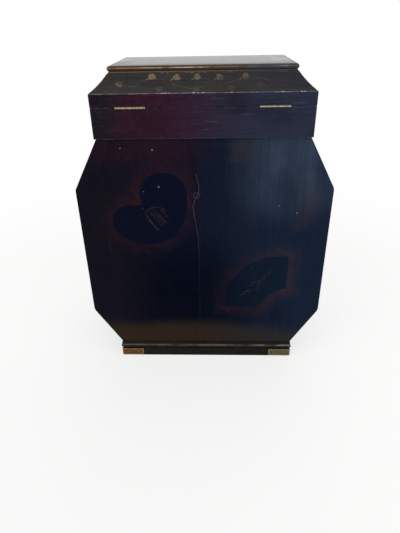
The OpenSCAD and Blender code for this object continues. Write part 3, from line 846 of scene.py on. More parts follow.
@dataclass(frozen=True)
class Metal(Finish):
    """Rubbed and tarnished metal; on the hinge barrels a painted highlight line and painted shade."""

    # Colours at the left and at the right of the caddy, and where they turn
    bright: tuple[str, str]
    dull: tuple[str, str]
    turn: Pair = (-70.0, 70.0)
    roughness: float = 0.34
    metallic: float = 0.9
    tarnish: float = 0.6
    patch: float = 3.0
    proud: Proud = Proud.ALL
    # Distances from the middle plane between which a hinge barrel turns from painted shade to a painted
    # highlight
    barrel_reach: Pair = (60.37, 60.47)
    # How far the field of the mounts lies below their border
    sink: float = 0.3

    def rubbed(self, coat: Coat) -> Signal:
        """Finds where the metal is kept bright: rubbed on a mount's border, a painted highlight on a hinge
        barrel.

        Args:
            coat: The coat to add to.

        Returns:
            1 where it is bright.
        """
        if self.proud is Proud.BARREL:
            return abs(coat.y).ramp(*self.barrel_reach)
        low, high = (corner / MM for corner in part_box("corner_mount_back_right"))
        above = (abs(coat.y) + low.y).most(abs(coat.x) - high.x)
        return above.ramp(-0.7 * self.sink, -0.3 * self.sink)

    def paint(self, coat: Coat) -> None:
        """Lays the metal on a coat.

        Args:
            coat: The coat to lay it on.
        """
        cloud = coat.noise(self.patch, detail=4)
        stain = cloud.ramp(0.38, 0.66) * self.tarnish
        # Darkens all but the bright part: real patina in a mount's sunk field, painted shade on a hinge
        # barrel
        if self.proud is not Proud.ALL:
            stain = stain.most((1 - self.rubbed(coat)) * cloud.above(0.55))
        bright, dull = (coat.blend(coat.x.ramp(*self.turn), *ends) for ends in (self.bright, self.dull))
        coat.colour = coat.blend(stain, bright, dull)
        brushed = coat.noise(0.25, stretch=(12, 12, 1), seed=3)
        roughness = self.roughness + 0.22 * stain + 0.08 * (brushed - 0.5)
        coat.finish(roughness, brushed * 0.4 + cloud * 0.6, depth=0.012, Metallic=self.metallic)


@dataclass(frozen=True)
class Gilding(Finish):
    """Powdered gold on raised lacquer, rubbed away in places."""

    # Colours on the left and on the right of the caddy, and where they turn
    gold: tuple[str, str]
    bare: tuple[str, str]
    turn: Pair = (-40.0, 40.0)
    # Levels of the noise from which the gold goes and at which it is gone, and its greatest loss
    rubbed: Pair = (0.42, 0.62)
    loss: float = 0.87
    metallic: float = 0.25

    def paint(self, coat: Coat) -> None:
        """Lays the gold on a coat.

        Args:
            coat: The coat to lay it on.
        """
        lost = coat.noise(2.2, detail=4, seed=1).ramp(*self.rubbed)
        lost = (lost + (1 - coat.attribute("gilt"))).least(1.0)
        grain = coat.noise(0.3, seed=2)
        gold, bare = (coat.blend(coat.x.ramp(*self.turn), *ends) for ends in (self.gold, self.bare))
        coat.colour = coat.blend(lost * self.loss, gold, bare)
        roughness = 0.42 + 0.2 * lost
        coat.finish(roughness, grain, depth=0.01, Metallic=self.metallic, Specular_IOR_Level=0.06)


class Finishes:
    """Every material of the caddy, made once."""

    # Where the arris between rim and cove is rubbed through: (middle, half length) along X
    rubbed: tuple[Pair, ...] = ((-6.0, 11.0), (-30.0, 5.0), (23.0, 2.5), (66.5, 4.5), (81.5, 3.0))
    # Scratches on the neck and rim: (middle, height, half length)
    scores: tuple[Triple, ...] = (
        (8.0, 253.5, 9.0), (3.0, 247.0, 4.0), (13.0, 272.0, 9.0), (79.0, 267.6, 8.0), (35.0, 259.0, 5.0)
    )

    def __init__(self) -> None:
        """Builds the materials."""
        # Neck and rim: wine at the left and navy at the right are a painted reflection of the room
        self.black = Lacquer(
            "black_lacquer", "#2e1224", "#262b3e", worn="#6a6266", steady=0.25, scores=self.scores
        ).material()
        self.side = Lacquer("side_lacquer", "#131017", "#161a25", grain=(1.0, 22.0, 22.0)).material()
        # Coves: warm grey turning bluish at the right is a painted reflection; the pale line along the
        # arris under them is partly real wear, partly a painted highlight line
        self.cove = Lacquer(
            "cove_lacquer", "#32302f", "#2b2c35", end="#342f2c", deep="#1c1b1d", worn="#d8d2cc",
            turn=(10.0, 95.0), figure=0.5, specular=0.04, steady=0.13, rub_size=0.9, rubbed=self.rubbed,
        ).material()
        self.top = TopLacquer("top_lacquer").material()
        # Plinth: the broken pale line along the bead's top is a painted highlight, brighter at the right
        self.plinth = Lacquer(
            "plinth_lacquer", "#1e1610", "#181614", end="#20180f", deep="#0c0908", worn="#77736e",
            roughness=0.24, specular=0.06, gleam=(15.0, 1.2),
        ).material()
        self.inner = Lacquer(
            "inner_lacquer", "#4a1a15", "#421815", end="#451a15", deep="#26100e", specular=0.2
        ).material()
        # Hinges: the bright line along the barrels' outermost edge is a painted highlight, and the dark
        # brass on the rest is painted shade
        self.hinge = Metal(
            "hinge_brass", ("#bcac8e", "#b6ad9a"), ("#2e2015", "#1f1b17"), tarnish=0.4, patch=1.6,
            proud=Proud.BARREL,
        ).material()
        self.mount = Metal(
            "mount_brass", ("#99754c", "#8a8262"), ("#4c2f17", "#453f2c"), roughness=0.48, metallic=0.75,
            patch=2.0, proud=Proud.BORDER,
        ).material()
        self.lock = Metal("lock_brass", ("#b8954e",) * 2, ("#6e5228",) * 2).material()
        self.pewter = Metal(
            "pewter", ("#9fa1a1",) * 2, ("#6f7070",) * 2, roughness=0.4, patch=14.0
        ).material()
        self.vine = Gilding(
            "vine_gilding", ("#75664a", "#6f6256"), ("#332d2c", "#2f2a2e"), rubbed=(0.46, 0.7)
        ).material()
        self.stroke = Gilding(
            "stroke_gilding", ("#342b30",) * 2, ("#0f111d",) * 2, rubbed=(0.4, 0.62), metallic=0.0
        ).material()
        self.panels = {
            Side.BACK: PanelLacquer("back_panel_lacquer", 1).material(),
            Side.FRONT: PanelLacquer("front_panel_lacquer", -1, cracked=False).material(),
        }


# ---- Mesh helpers ----


def copied(node: str) -> Mesh:
    """Copies a CAD mesh, with its loose triangles joined into whole faces.

    Args:
        node: The node that it is the mesh of.

    Returns:
        The copy.
    """
    shape = bmesh.new()
    shape.from_mesh(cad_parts[node].data)
    bmesh.ops.remove_doubles(shape, verts=shape.verts, dist=TOUCH)
    flat = math.radians(FLAT_ANGLE)
    bmesh.ops.dissolve_limit(shape, angle_limit=flat, verts=shape.verts, edges=shape.edges)
    return shape


def joined(shapes: Iterable[Mesh]) -> Mesh:
    """Joins shapes that touch into one shell.

    Args:
        shapes: The shapes, which are used up. Where two touch, their faces match.

    Returns:
        The shell, without the faces that the shapes share.
    """
    whole = bmesh.new()
    for shape in shapes:
        store = bpy.data.meshes.new("store")
        shape.to_mesh(store)
        shape.free()
        whole.from_mesh(store)
        bpy.data.meshes.remove(store)
    bmesh.ops.remove_doubles(whole, verts=whole.verts, dist=TOUCH)
    hidden = [face for face in whole.faces if all(len(edge.link_faces) > 2 for edge in face.edges)]
    bmesh.ops.delete(whole, geom=hidden, context="FACES")
    return whole


def soften(
    shape: Mesh,
    chosen: Callable[[Edge], bool],
    radius: float,
    wear: Callable[[Vector], float] | float = 1.0,
) -> None:
    """Rounds chosen sharp edges and marks the new faces as worn.

    Args:
        shape: The mesh to change.
        chosen: Says which of the sharp outward edges are rounded.
        radius: Width taken off each side, in millimetres.
        wear: How worn the new faces are, from 0 to 1, everywhere or at a place.
    """
    edges = [
        edge for edge in shape.edges
        if edge.is_manifold and edge.is_convex and edge.calc_face_angle() > math.radians(ARRIS_ANGLE)
        and chosen(edge)
    ]
    made = bmesh.ops.bevel(
        shape, geom=edges, offset=radius * MM, affect="EDGES", segments=ARRIS_FACES, profile=0.5,
        material=-1, clamp_overlap=True,
    )
    layer = shape.loops.layers.float.get("wear") or shape.loops.layers.float.new("wear")
    fresh = set(made["faces"])
    for face in fresh:
        strength = wear(face.calc_center_median()) if callable(wear) else wear
        for loop in face.loops:
            within = all(other in fresh for other in loop.vert.link_faces)
            loop[layer] = strength * (1.0 if within else BESIDE_ARRIS)


def close(shape: Mesh, layer: bmesh.types.BMLayerItem | None = None) -> None:
    """Closes a mesh's open ends with faces.

    Args:
        shape: The mesh.
        layer: Its layer of wear, in which the new faces get none.
    """
    rim = [edge for edge in shape.edges if edge.is_boundary]
    made = bmesh.ops.holes_fill(shape, edges=rim, sides=0)
    if layer:
        for loop in (loop for face in made["faces"] for loop in face.loops):
            loop[layer] = 0.0


def cut_away(shape: Mesh, point: Vector, away: Vector) -> None:
    """Cuts a closed shape by a plane, takes off one part and closes the cut.

    Args:
        shape: The shape.
        point: Point on the plane.
        away: Normal of the plane, towards the part that goes.
    """
    everything = [*shape.verts, *shape.edges, *shape.faces]
    bmesh.ops.bisect_plane(
        shape, geom=everything, dist=ON_PLANE, plane_co=point, plane_no=away, clear_outer=True
    )
    close(shape, shape.loops.layers.float.get("wear"))


def shown(name: str, data: bpy.types.ID) -> bpy.types.Object:
    """Adds an object to the scene.

    Args:
        name: Its name.
        data: Its mesh, light or camera.

    Returns:
        The object.
    """
    thing = bpy.data.objects.new(name, data)
    bpy.context.scene.collection.objects.link(thing)
    return thing


def make_piece(
    shape: Mesh, name: str, body: Body, slot: Slot, materials: Sequence[Material], *replaced: str
) -> None:
    """Turns a mesh into a piece of the caddy.

    Args:
        shape: The mesh, which is used up.
        name: Name of the piece.
        body: Body that it rides on.
        slot: Material slot of the record; not used.
        materials: Its materials, by face index.
        *replaced: CAD nodes that it stands for.
    """
    mesh = bpy.data.meshes.new(name)
    shape.to_mesh(mesh)
    shape.free()
    for layer in [a for a in mesh.attributes if a.name == "custom_normal"]:
        mesh.attributes.remove(layer)
    for polygon in mesh.polygons:
        polygon.use_smooth = True
    mesh.set_sharp_from_angle(angle=math.radians(CREASE_ANGLE))
    for material in materials:
        mesh.materials.append(material)
    piece = shown(name, mesh)
    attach(piece, body.value)
    if replaced:
        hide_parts(*replaced)
    LOG.info("%s: %d faces on %s", name, len(mesh.polygons), body.value)


def smooth_path(points: Sequence[Pair]) -> list[Pair]:
    """Threads a soft curve through points.

    Args:
        points: The points in order.

    Returns:
        Points along the curve.
    """
    ends = [points[0], *points, points[-1]]
    path = []
    for i in range(len(points) - 1):
        a, b, c, d = (Vector(p) for p in ends[i:i + 4])
        for step in range(PATH_STEPS):
            t = step / PATH_STEPS
            swing = (c - a) * t + (2 * a - 5 * b + 4 * c - d) * t**2 + (3 * b - a - 3 * c + d) * t**3
            path.append(tuple(b + swing / 2))
    return [*path, points[-1]]


def draw_on(shape: Mesh, tip: Vert, places: Iterable[Pair]) -> Vert:
    """Draws a section on from its last vertex.

    Args:
        shape: The mesh of the section.
        tip: Its last vertex.
        places: Corners to pass through, as (inward, up).

    Returns:
        The new last vertex.
    """
    for inward, up in places:
        tip = bmesh.ops.extrude_vert_indiv(shape, verts=[tip])["verts"][0]
        tip.co = Vector((inward, 0, up))
    return tip


def draw_arc(shape: Mesh, tip: Vert, centre: Pair, angle: float, steps: int) -> Vert:
    """Draws a section on from its last vertex round an arc.

    Args:
        shape: The mesh of the section.
        tip: Its last vertex.
        centre: The arc's centre as (inward, up), in millimetres.
        angle: Turn in radians, from the outside over the top where it is positive.
        steps: Number of edges that make up the arc.

    Returns:
        The new last vertex.
    """
    middle = (centre[0], 0, centre[1])
    arc = bmesh.ops.spin(shape, geom=[tip], cent=middle, axis=(0, 1, 0), angle=angle, steps=steps)
    return next(item for item in arc["geom_last"] if isinstance(item, Vert))


def sweep(shape: Mesh, edges: Sequence[Edge], frames: Sequence[Matrix]) -> list[Edge]:
    """Draws a line of edges out from frame to frame.

    Args:
        shape: The mesh to add to.
        edges: The line, where it lies in the first frame.
        frames: Frames to pass through, in order.

    Returns:
        The line as it lies in the last frame.
    """
    edges = list(edges)
    for before, after in zip(frames, frames[1:]):
        grown = bmesh.ops.extrude_edge_only(shape, edges=edges)["geom"]
        verts = {item for item in grown if isinstance(item, Vert)}
        edges = [item for item in grown if isinstance(item, Edge) and verts.issuperset(item.verts)]
        bmesh.ops.transform(shape, matrix=after @ before.inverted(), verts=list(verts))
    return edges


def run_round(shape: Mesh, half: Vector, base: float) -> None:
    """Runs a section round a rectangle, with mitred corners.

    Args:
        shape: The mesh, which holds the section alone: X inward from the rectangle and Z up from the
            base, in millimetres. It becomes the moulding in its place, in metres.
        half: Half extents of the rectangle, in metres.
        base: Height of the section's base, in metres.
    """
    frames = []
    for x, y in ((-1, -1), (1, -1), (1, 1), (-1, 1), (-1, -1)):
        corner = Matrix(((-x, -x, 0), (-y, y, 0), (0, 0, 1))).to_4x4() * MM
        corner.translation = (x * half.x, y * half.y, base)
        corner[3][3] = 1.0
        frames.append(corner)
    bmesh.ops.transform(shape, matrix=frames[0], verts=shape.verts)
    sweep(shape, shape.edges, frames)
    bmesh.ops.remove_doubles(shape, verts=shape.verts, dist=TOUCH)
    bmesh.ops.recalc_face_normals(shape, faces=shape.faces)


def add_stroke(shape: Mesh, skin: Skin, points: Sequence[Pair], width: float, height: float) -> None:
    """Lays a thin raised line on a surface.

    Args:
        shape: The mesh to add to.
        skin: The surface.
        points: Places that the line passes through, in millimetres.
        width: Width of the line at its middle.
        height: How far it stands up.
    """
    spots = [skin(*point) for point in smooth_path(points)]
    last = len(spots) - 1
    frames = []
    for i, spot in enumerate(spots):
        ahead = (spots[min(i + 1, last)].translation - spots[max(i - 1, 0)].translation).normalized()
        normal = spot.col[2].to_3d().normalized()
        taper = STROKE_TIP + (1 - STROKE_TIP) * math.sin(math.pi * i / last) ** 0.5
        across = normal.cross(ahead) * (width * taper / 2 * MM)
        section = Matrix((across, normal * height * MM, ahead)).transposed().to_4x4()
        frames.append(Matrix.Translation(spot.translation) @ section)
    first_face = len(shape.faces)
    ring = bmesh.ops.create_circle(shape, segments=STROKE_SIDES, radius=1.0, cap_ends=True)["verts"]
    bmesh.ops.transform(shape, matrix=frames[0], verts=ring)
    end = sweep(shape, list({edge for vert in ring for edge in vert.link_edges}), frames)
    bmesh.ops.contextual_create(shape, geom=end)
    bmesh.ops.recalc_face_normals(shape, faces=list(shape.faces)[first_face:])


def add_petal(shape: Mesh, spot: Matrix, angle: float, size: Triple, offset: float = 0.0) -> None:
    """Lays one raised petal or leaf on a surface.

    Args:
        shape: The mesh to add to.
        spot: Frame of the spray's middle, with its third axis out of the surface.
        angle: Direction of the petal, from the right, in degrees.
        size: Its length, its greatest width and how far it stands up, in millimetres.
        offset: Distance of its middle from the spray's middle.
    """
    around, along = PETAL_FACES
    made = bmesh.ops.create_uvsphere(shape, u_segments=around, v_segments=along, radius=1.0)["verts"]
    for vert in made:
        vert.co.y *= 1 - PETAL_TAPER + PETAL_TAPER * vert.co.x
    length, width, height = size
    scale = Matrix.Diagonal((length / 2 * MM, width / 2 * MM, height * MM, 1.0))
    swing = Matrix.Rotation(math.radians(angle), 4, "Z") @ Matrix.Translation((offset * MM, 0, 0))
    bmesh.ops.transform(shape, matrix=spot @ swing @ scale, verts=made)


def set_gilt(shape: Mesh, first: int, value: float) -> None:
    """Says how much gold is left on new vertices.

    Args:
        shape: The mesh.
        first: Number of vertices before the new ones.
        value: Gold that is left, from 0 to 1.
    """
    layer = shape.verts.layers.float.get("gilt") or shape.verts.layers.float.new("gilt")
    shape.verts.ensure_lookup_table()
    for vert in shape.verts[first:]:
        vert[layer] = value


# ---- Sub-assemblies ----


@dataclass
class Ring:
    """A rectangular frame of mitred boards, softened as one and cut back into its boards."""

    body: Body
    # Half extents and the heights of the lower and the upper end, in metres
    half: Vector
    low: float
    high: float
    # Shares of an inner face's normal: the most along the outward direction, and the most sideways
    inner: Pair = (-0.5, 0.1)

    def on_mitre(self, point: Vector) -> bool:
        """Whether a point lies on the corner planes where the boards meet."""
        return abs(abs(point.x) - abs(point.y) - (self.half.x - self.half.y)) < TOUCH

    def outermost(self, point: Vector) -> bool:
        """Whether a point lies on the frame's outer rectangle."""
        return self.half.x - abs(point.x) < TOUCH or self.half.y - abs(point.y) < TOUCH

    def corner(self, edge: Edge) -> bool:
        """Whether an edge is a corner of the frame."""
        return all(self.on_mitre(vert.co) for vert in edge.verts)

    def arris(self, edge: Edge, levels: Sequence[float]) -> bool:
        """Tells whether an edge is rounded.

        Args:
            edge: The edge.
            levels: Heights of the outer edges that are.

        Returns:
            Whether it is a corner of the frame, or an outer edge at one of the levels.
        """
        return self.corner(edge) or any(
            all(abs(vert.co.z - level) < TOUCH and self.outermost(vert.co) for vert in edge.verts)
            for level in levels
        )

    def make_board(
        self, whole: Mesh, side: Side, kind: str, slot: Slot, materials: Sequence[Material], span: Pair
    ) -> None:
        """Cuts one board out of the softened frame and makes a piece of it.

        Args:
            whole: The frame, which is kept.
            side: The board's side.
            kind: Start of the name of its node.
            slot: Its material slot.
            materials: Its materials on the outside and on the inside.
            span: Its lower and its upper end, in metres.
        """
        part = whole.copy()
        reach, half_length = side.extents(self.half)
        for hand in (-1, 1):
            corner = side.outward * reach + side.along * hand * half_length
            cut_away(part, corner, side.along * hand - side.outward)
        low, high = span
        if low > self.low:
            cut_away(part, UP * low, -UP)
        if high < self.high:
            cut_away(part, UP * high, UP)
        outward, sideways = self.inner
        for face in part.faces:
            inward = face.normal.dot(side.outward) < outward and abs(face.normal.dot(side.along)) < sideways
            face.material_index = 1 if inward else 0
        node = f"{kind}_{side.label}"
        make_piece(part, f"{node}_board", self.body, slot, materials, node)


@dataclass
class Neck:
    """The upright frame between the octagonal case and the lid."""

    finishes: Finishes
    arris_radius: float = 0.55
    arris_wear: float = 0.45

    def build(self) -> None:
        """Softens the four boards."""
        low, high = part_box("neck_back")
        ring = Ring(Body.CASE, Vector((high.x, -low.y, 0)), low.z, high.z)
        whole = joined(copied(f"neck_{side.label}") for side in Side)
        ends = (low.z, high.z)
        soften(whole, lambda edge: ring.arris(edge, ends), self.arris_radius, self.arris_wear)
        materials = [self.finishes.black, self.finishes.inner]
        for side in Side:
            ring.make_board(whole, side, "neck", Slot.BLACK, materials, ends)
        whole.free()


@dataclass(frozen=True)
class Hollow:
    """Section of the coves: an arc, in millimetres inward and upward from the rim's outer edge."""

    run: float
    rise: float
    turn: float = math.radians(19.0)

    @classmethod
    def of_lid(cls) -> "Hollow":
        """Takes its run and rise from the frame's cove and top board."""
        low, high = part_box("cove_back")
        return cls((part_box("lid_top_board")[0].y - low.y) / MM, (high.z - low.z) / MM)

    @property
    def chord(self) -> float:
        """Distance between the ends of the arc."""
        return math.hypot(self.run, self.rise)

    @property
    def radius(self) -> float:
        """Radius of the arc."""
        return self.chord / 2 / math.sin(self.turn / 2)

    @property
    def centre(self) -> Vector:
        """Centre of the arc."""
        away = self.radius * math.cos(self.turn / 2) / self.chord
        return Vector((self.run / 2 - self.rise * away, self.rise / 2 + self.run * away))


@dataclass
class Lid:
    """Rim and cove boards of the lid, with the moulded top board above them."""

    finishes: Finishes
    arris_radius: float = 0.5
    # Top board: radius of its nose, height of the fillet under it, the quirk between them, how far the
    # fillet and the quirk lie in from the nose, and width of board that the moulding is drawn on
    nose_radius: float = 2.15
    fillet_height: float = 1.1
    quirk_height: float = 1.3
    fillet_in: float = 0.7
    quirk_in: float = 1.5
    moulded: float = 20.0
    nose_steps: int = 10
    nose_corner: float = 1.0
    # Share of the underside's normals that points up, at most
    underside: float = -0.99
    # Width of the cove boards along the level
    cove_level: float = 11.5587
    hollow_steps: int = 12
    # Wear of the arris between rim and cove, which also carries a painted highlight line, and of all others
    cove_wear: float = 1.0
    rim_wear: float = 0.3

    def build(self) -> None:
        """Softens the rim with the cove, then the top board."""
        low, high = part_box("lid_back")
        half = Vector((high.x, -low.y, 0))
        ring = Ring(Body.LID, half, low.z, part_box("cove_back")[1].z)
        coves = self.coves(ring, high.y - low.y)
        whole = joined([*(copied(f"lid_{side.label}") for side in Side), coves])

        def wear(place: Vector) -> float:
            """Says how worn the lid is, most on the outside between rim and cove, where the wear also
            carries a painted highlight line.

            Args:
                place: Where, in metres.

            Returns:
                The wear, from 0 to 1.
            """
            if abs(place.z - high.z) > MM:
                return self.rim_wear
            outside = min(half.x - abs(place.x), half.y - abs(place.y)) < MM
            return self.cove_wear if outside else 0.0

        soften(whole, lambda edge: ring.arris(edge, (low.z, high.z)), self.arris_radius, wear)
        rim = (Slot.BLACK, [self.finishes.black, self.finishes.inner], (ring.low, high.z))
        cove = (Slot.COVE, [self.finishes.cove, self.finishes.inner], (high.z, ring.high))
        for side in Side:
            ring.make_board(whole, side, "lid", *rim)
            ring.make_board(whole, side, "cove", *cove)
        whole.free()
        self.build_top()

    def coves(self, ring: Ring, wall: float) -> Mesh:
        """Draws the hollow profile of the coves round the lid.

        Args:
            ring: The frame that they make with the rim.
            wall: Thickness of the rim boards, in metres.

        Returns:
            The four boards in one shell, with a seam underneath where the rim's inner face ends.
        """
        hollow = Hollow.of_lid()
        shape = bmesh.new()
        start = bmesh.ops.create_vert(shape, co=(0, 0, 0))["vert"][0]
        tip = draw_arc(shape, start, hollow.centre, -hollow.turn, self.hollow_steps)
        inner = ((hollow.run + self.cove_level, hollow.rise), (self.cove_level, 0), (wall / MM, 0))
        bmesh.ops.contextual_create(shape, geom=[draw_on(shape, tip, inner), start])
        run_round(shape, ring.half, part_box("cove_back")[0].z)
        return shape

    def build_top(self) -> None:
        """Draws the top board with its moulded edge: a fillet, a quirk and a round nose."""
        low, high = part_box("lid_top_board")
        ring = Ring(Body.LID, Vector((high.x, high.y, 0)), low.z, high.z)
        thickness = (high.z - low.z) / MM
        board = bmesh.new()
        tip = bmesh.ops.create_vert(board, co=(self.moulded, 0, 0))["vert"][0]
        centre = (self.nose_radius, thickness - self.nose_radius)
        start = -math.acos((self.nose_radius - self.quirk_in) / self.nose_radius)
        tip = draw_on(board, tip, (
            (self.fillet_in, 0), (self.fillet_in, self.fillet_height), (self.quirk_in, self.quirk_height),
            (self.quirk_in, centre[1] + self.nose_radius * math.sin(start)),
        ))
        tip = draw_arc(board, tip, centre, math.pi / 2 - start, self.nose_steps)
        draw_on(board, tip, ((self.moulded, thickness),))
        run_round(board, ring.half, low.z)
        close(board)
        bmesh.ops.recalc_face_normals(board, faces=board.faces)
        soften(board, ring.corner, self.nose_corner)
        for face in board.faces:
            face.material_index = 1 if face.normal.z < self.underside else 0
        materials = [self.finishes.top, self.finishes.inner]
        make_piece(board, "lid_top", Body.LID, Slot.TOP, materials, "lid_top_board")


@dataclass
class CaseBody:
    """The octagonal case: two panels and the boards round their edge."""

    finishes: Finishes
    # Right-hand edge of the octagon from the neck down to the foot: (right, up) in millimetres
    outline: tuple[Pair, ...] = ((92.4, 239.5), (117.5, 193.5), (117.5, 61.0), (91.5, 18.8))
    # Widths taken off each side of the octagon's upper and lower corners, and wear of all of them
    corner_radii: Pair = (1.6, 2.6)
    corner_wear: float = 0.07
    arris_radius: float = 0.7
    # Shares of a normal along the outward direction, under which a face is an inner or an edge face
    inner: float = -0.9
    edge: float = 0.1

    def round_corners(self, shape: Mesh) -> None:
        """Rounds the octagon's corners.

        Args:
            shape: Mesh of any of its boards.
        """
        for (right, up), radius in zip(self.outline[1:3], self.corner_radii):
            soften(
                shape,
                lambda edge: all(
                    abs(abs(vert.co.x) - right * MM) < TOUCH and abs(vert.co.z - up * MM) < TOUCH
                    for vert in edge.verts
                ),
                radius,
                self.corner_wear,
            )

    def build(self) -> None:
        """Softens the panels and the boards between them."""
        for side in (Side.BACK, Side.FRONT):
            self.build_panel(side)
        for hand, label in ((-1, "left"), (1, "right")):
            self.build_edge(hand, label)

    def build_panel(self, side: Side) -> None:
        """Softens one octagonal panel.

        Args:
            side: The panel's side.
        """
        node = f"{side.label}_panel"
        low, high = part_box(node)
        face_y = low.y if side is Side.BACK else high.y
        shape = copied(node)
        self.round_corners(shape)
        soften(shape, lambda edge: all(abs(v.co.y - face_y) < TOUCH for v in edge.verts), self.arris_radius)
        for face in shape.faces:
            facing = face.normal.dot(side.outward)
            face.material_index = 1 if facing < self.inner else 2 if facing < self.edge else 0
        materials = [self.finishes.panels[side], self.finishes.inner, self.finishes.side]
        make_piece(shape, f"{node}_board", Body.CASE, Slot.PANEL, materials, node)

    def build_edge(self, hand: int, label: str) -> None:
        """Softens the three boards on one side of the case.

        Args:
            hand: 1 for the right side, -1 for the left.
            label: The side's name in the nodes.
        """
        nodes = [f"{label}_{part}_board" for part in ("shoulder", "side", "foot")]
        whole = joined(copied(node) for node in nodes)
        self.round_corners(whole)
        points = [Vector((hand * right, 0, up)) * MM for right, up in self.outline]
        runs = [(b - a).normalized() for a, b in zip(points, points[1:])]
        for i, node in enumerate(nodes):
            part = whole.copy()
            if i > 0:
                cut_away(part, points[i], -(runs[i - 1] + runs[i]))
            if i < len(nodes) - 1:
                cut_away(part, points[i + 1], runs[i] + runs[i + 1])
            outward = Vector((-runs[i].z, 0, runs[i].x)) * hand
            for face in part.faces:
                face.material_index = 1 if face.normal.dot(outward) < self.inner else 0
            materials = [self.finishes.side, self.finishes.inner]
            make_piece(part, f"{node}_softened", Body.CASE, Slot.BLACK, materials, node)
        whole.free()


@dataclass
class VineScroll:
    """Gilt vine on the four coves: sprays of petals on thin curling stems.

    Places are (right, up the slope) in millimetres from the middle of the cove's lower edge.
    """

    finishes: Finishes
    stem_width: float = 0.42
    relief: float = 0.14
    # Length at each end of a cove that stays bare
    bare_end: float = 21.0
    # Radius of a flower, how much taller than wide it is, and its number of petals
    size: float = 2.8
    tall: float = 1.2
    petals: int = 5
    # Petals: their mean breadth, how far it varies, and their distance from the middle, over the radius
    petal: Triple = (1.28, 0.12, 0.46)
    # Breadth of a flower's eye over the radius, and its height over the relief
    eye: Pair = (0.5, 1.5)
    # Leaves: (direction in degrees, and over the radius their length, width and distance)
    leaves: tuple[tuple[float, float, float, float], ...] = (
        (208.0, 1.5, 0.55, 1.5), (335.0, 0.7, 0.35, 1.15)
    )
    # Gold that is left on the stems
    stem_gilt: float = 0.42
    # Flowers with leaves and flowers without: (right, up, gold that is left)
    upper: tuple[Triple, ...] = (
        (-41.7, 16.8, 0.95), (-21.2, 16.2, 0.8), (-4.2, 16.2, 0.65), (14.1, 15.8, 0.5), (35.7, 16.2, 0.5)
    )
    lower: tuple[Triple, ...] = (
        (-68.6, 10.0, 0.5), (-35.0, 4.6, 0.16), (-5.3, 3.4, 0.14), (24.0, 5.0, 0.0), (47.0, 8.0, 0.0)
    )
    # Turn of the first flower of a row, and from one to the next so that no two lie alike, in degrees
    first_turn: float = 90.0
    twist: float = 23.0
    stems: tuple[tuple[Pair, ...], ...] = (
        ((-67.0, 8.2), (-61.0, 7.6), (-56.5, 7.5), (-55.0, 6.4)),
        ((-55.3, 6.6), (-54.2, 10.0), (-50.4, 13.1), (-44.5, 14.2)),
        ((-39.5, 14.2), (-33.6, 13.6), (-28.3, 11.9), (-19.9, 8.0), (-12.3, 5.3), (-5.4, 4.6),
         (0.7, 6.8), (4.5, 10.4), (4.9, 13.1), (3.0, 14.6)),
        ((-28.3, 11.9), (-25.2, 13.6), (-22.5, 14.2)),
        ((4.9, 12.8), (9.0, 14.0), (12.4, 14.2)),
        ((13.9, 12.2), (14.1, 9.4), (15.8, 8.0), (18.6, 8.8), (24.3, 11.3), (29.6, 13.1), (33.6, 14.2)),
        ((38.2, 14.4), (43.0, 14.8), (48.6, 14.2), (53.3, 12.6), (56.4, 9.8), (56.2, 6.0)),
    )

    def skin(self, side: Side) -> Skin:
        """Surface of one cove.

        Args:
            side: The cove's side.

        Returns:
            A function that places a small part on it.
        """
        low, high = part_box("cove_back")
        reach, _ = side.extents(Vector((high.x, -low.y, 0)))
        hollow = Hollow.of_lid()
        start = math.atan2(-hollow.centre.y, -hollow.centre.x)

        def place(right: float, up: float) -> Matrix:
            """Places a small part on the cove.

            Args:
                right: Its place to the right.
                up: Its place up the slope.

            Returns:
                Its frame.
            """
            angle = start + hollow.turn * up / hollow.chord
            out = Vector((math.cos(angle), math.sin(angle)))
            inward, rise = hollow.centre + out * hollow.radius
            normal = side.outward * out.x - UP * out.y
            spot = Matrix((side.along, normal.cross(side.along), normal)).transposed().to_4x4()
            middle = side.outward * (reach - inward * MM) + side.along * right * MM
            spot.translation = middle + UP * (low.z + rise * MM)
            return spot

        return place

    def add_spray(self, shape: Mesh, spot: Matrix, gilt: float, leafy: bool, turn: float) -> None:
        """Adds a flower of round petals.

        Args:
            shape: The mesh to add to.
            spot: Frame of the flower's middle.
            gilt: How much of its gold is left.
            leafy: Whether it has leaves under it.
            turn: Turn of its petals, in degrees.
        """
        first = len(shape.verts)
        spot = spot @ Matrix.Diagonal((1, self.tall, 1, 1))
        mean, change, distance = self.petal
        for i in range(self.petals):
            angle = turn + 360 / self.petals * i
            broad = (mean + change * math.sin(math.radians(2 * angle + turn))) * self.size
            add_petal(shape, spot, angle, (broad, broad, self.relief), distance * self.size)
        breadth, height = self.eye
        add_petal(shape, spot, 0, (breadth * self.size, breadth * self.size, height * self.relief))
        for angle, length, width, away in self.leaves if leafy else ():
            size = (length * self.size, width * self.size, self.relief)
            add_petal(shape, spot, angle, size, away * self.size)
        set_gilt(shape, first, gilt)

    def build(self) -> None:
        """Lays the scroll on each side, as much of it as the side has room for."""
        low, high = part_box("cove_back")
        half = Vector((high.x, -low.y, 0)) / MM
        for side in Side:
            room = side.extents(half)[1] - self.bare_end
            skin = self.skin(side)
            shape = bmesh.new()
            for stem in self.stems:
                if all(abs(right) < room for right, _ in stem):
                    first = len(shape.verts)
                    add_stroke(shape, skin, stem, self.stem_width, self.relief)
                    set_gilt(shape, first, self.stem_gilt)
            for row, leafy in ((self.upper, True), (self.lower, False)):
                for i, (right, up, gilt) in enumerate(row):
                    if abs(right) < room:
                        turn = self.first_turn + i * self.twist
                        self.add_spray(shape, skin(right, up), gilt, leafy, turn)
            make_piece(shape, f"vine_{side.label}", Body.LID, Slot.COVE, [self.finishes.vine])


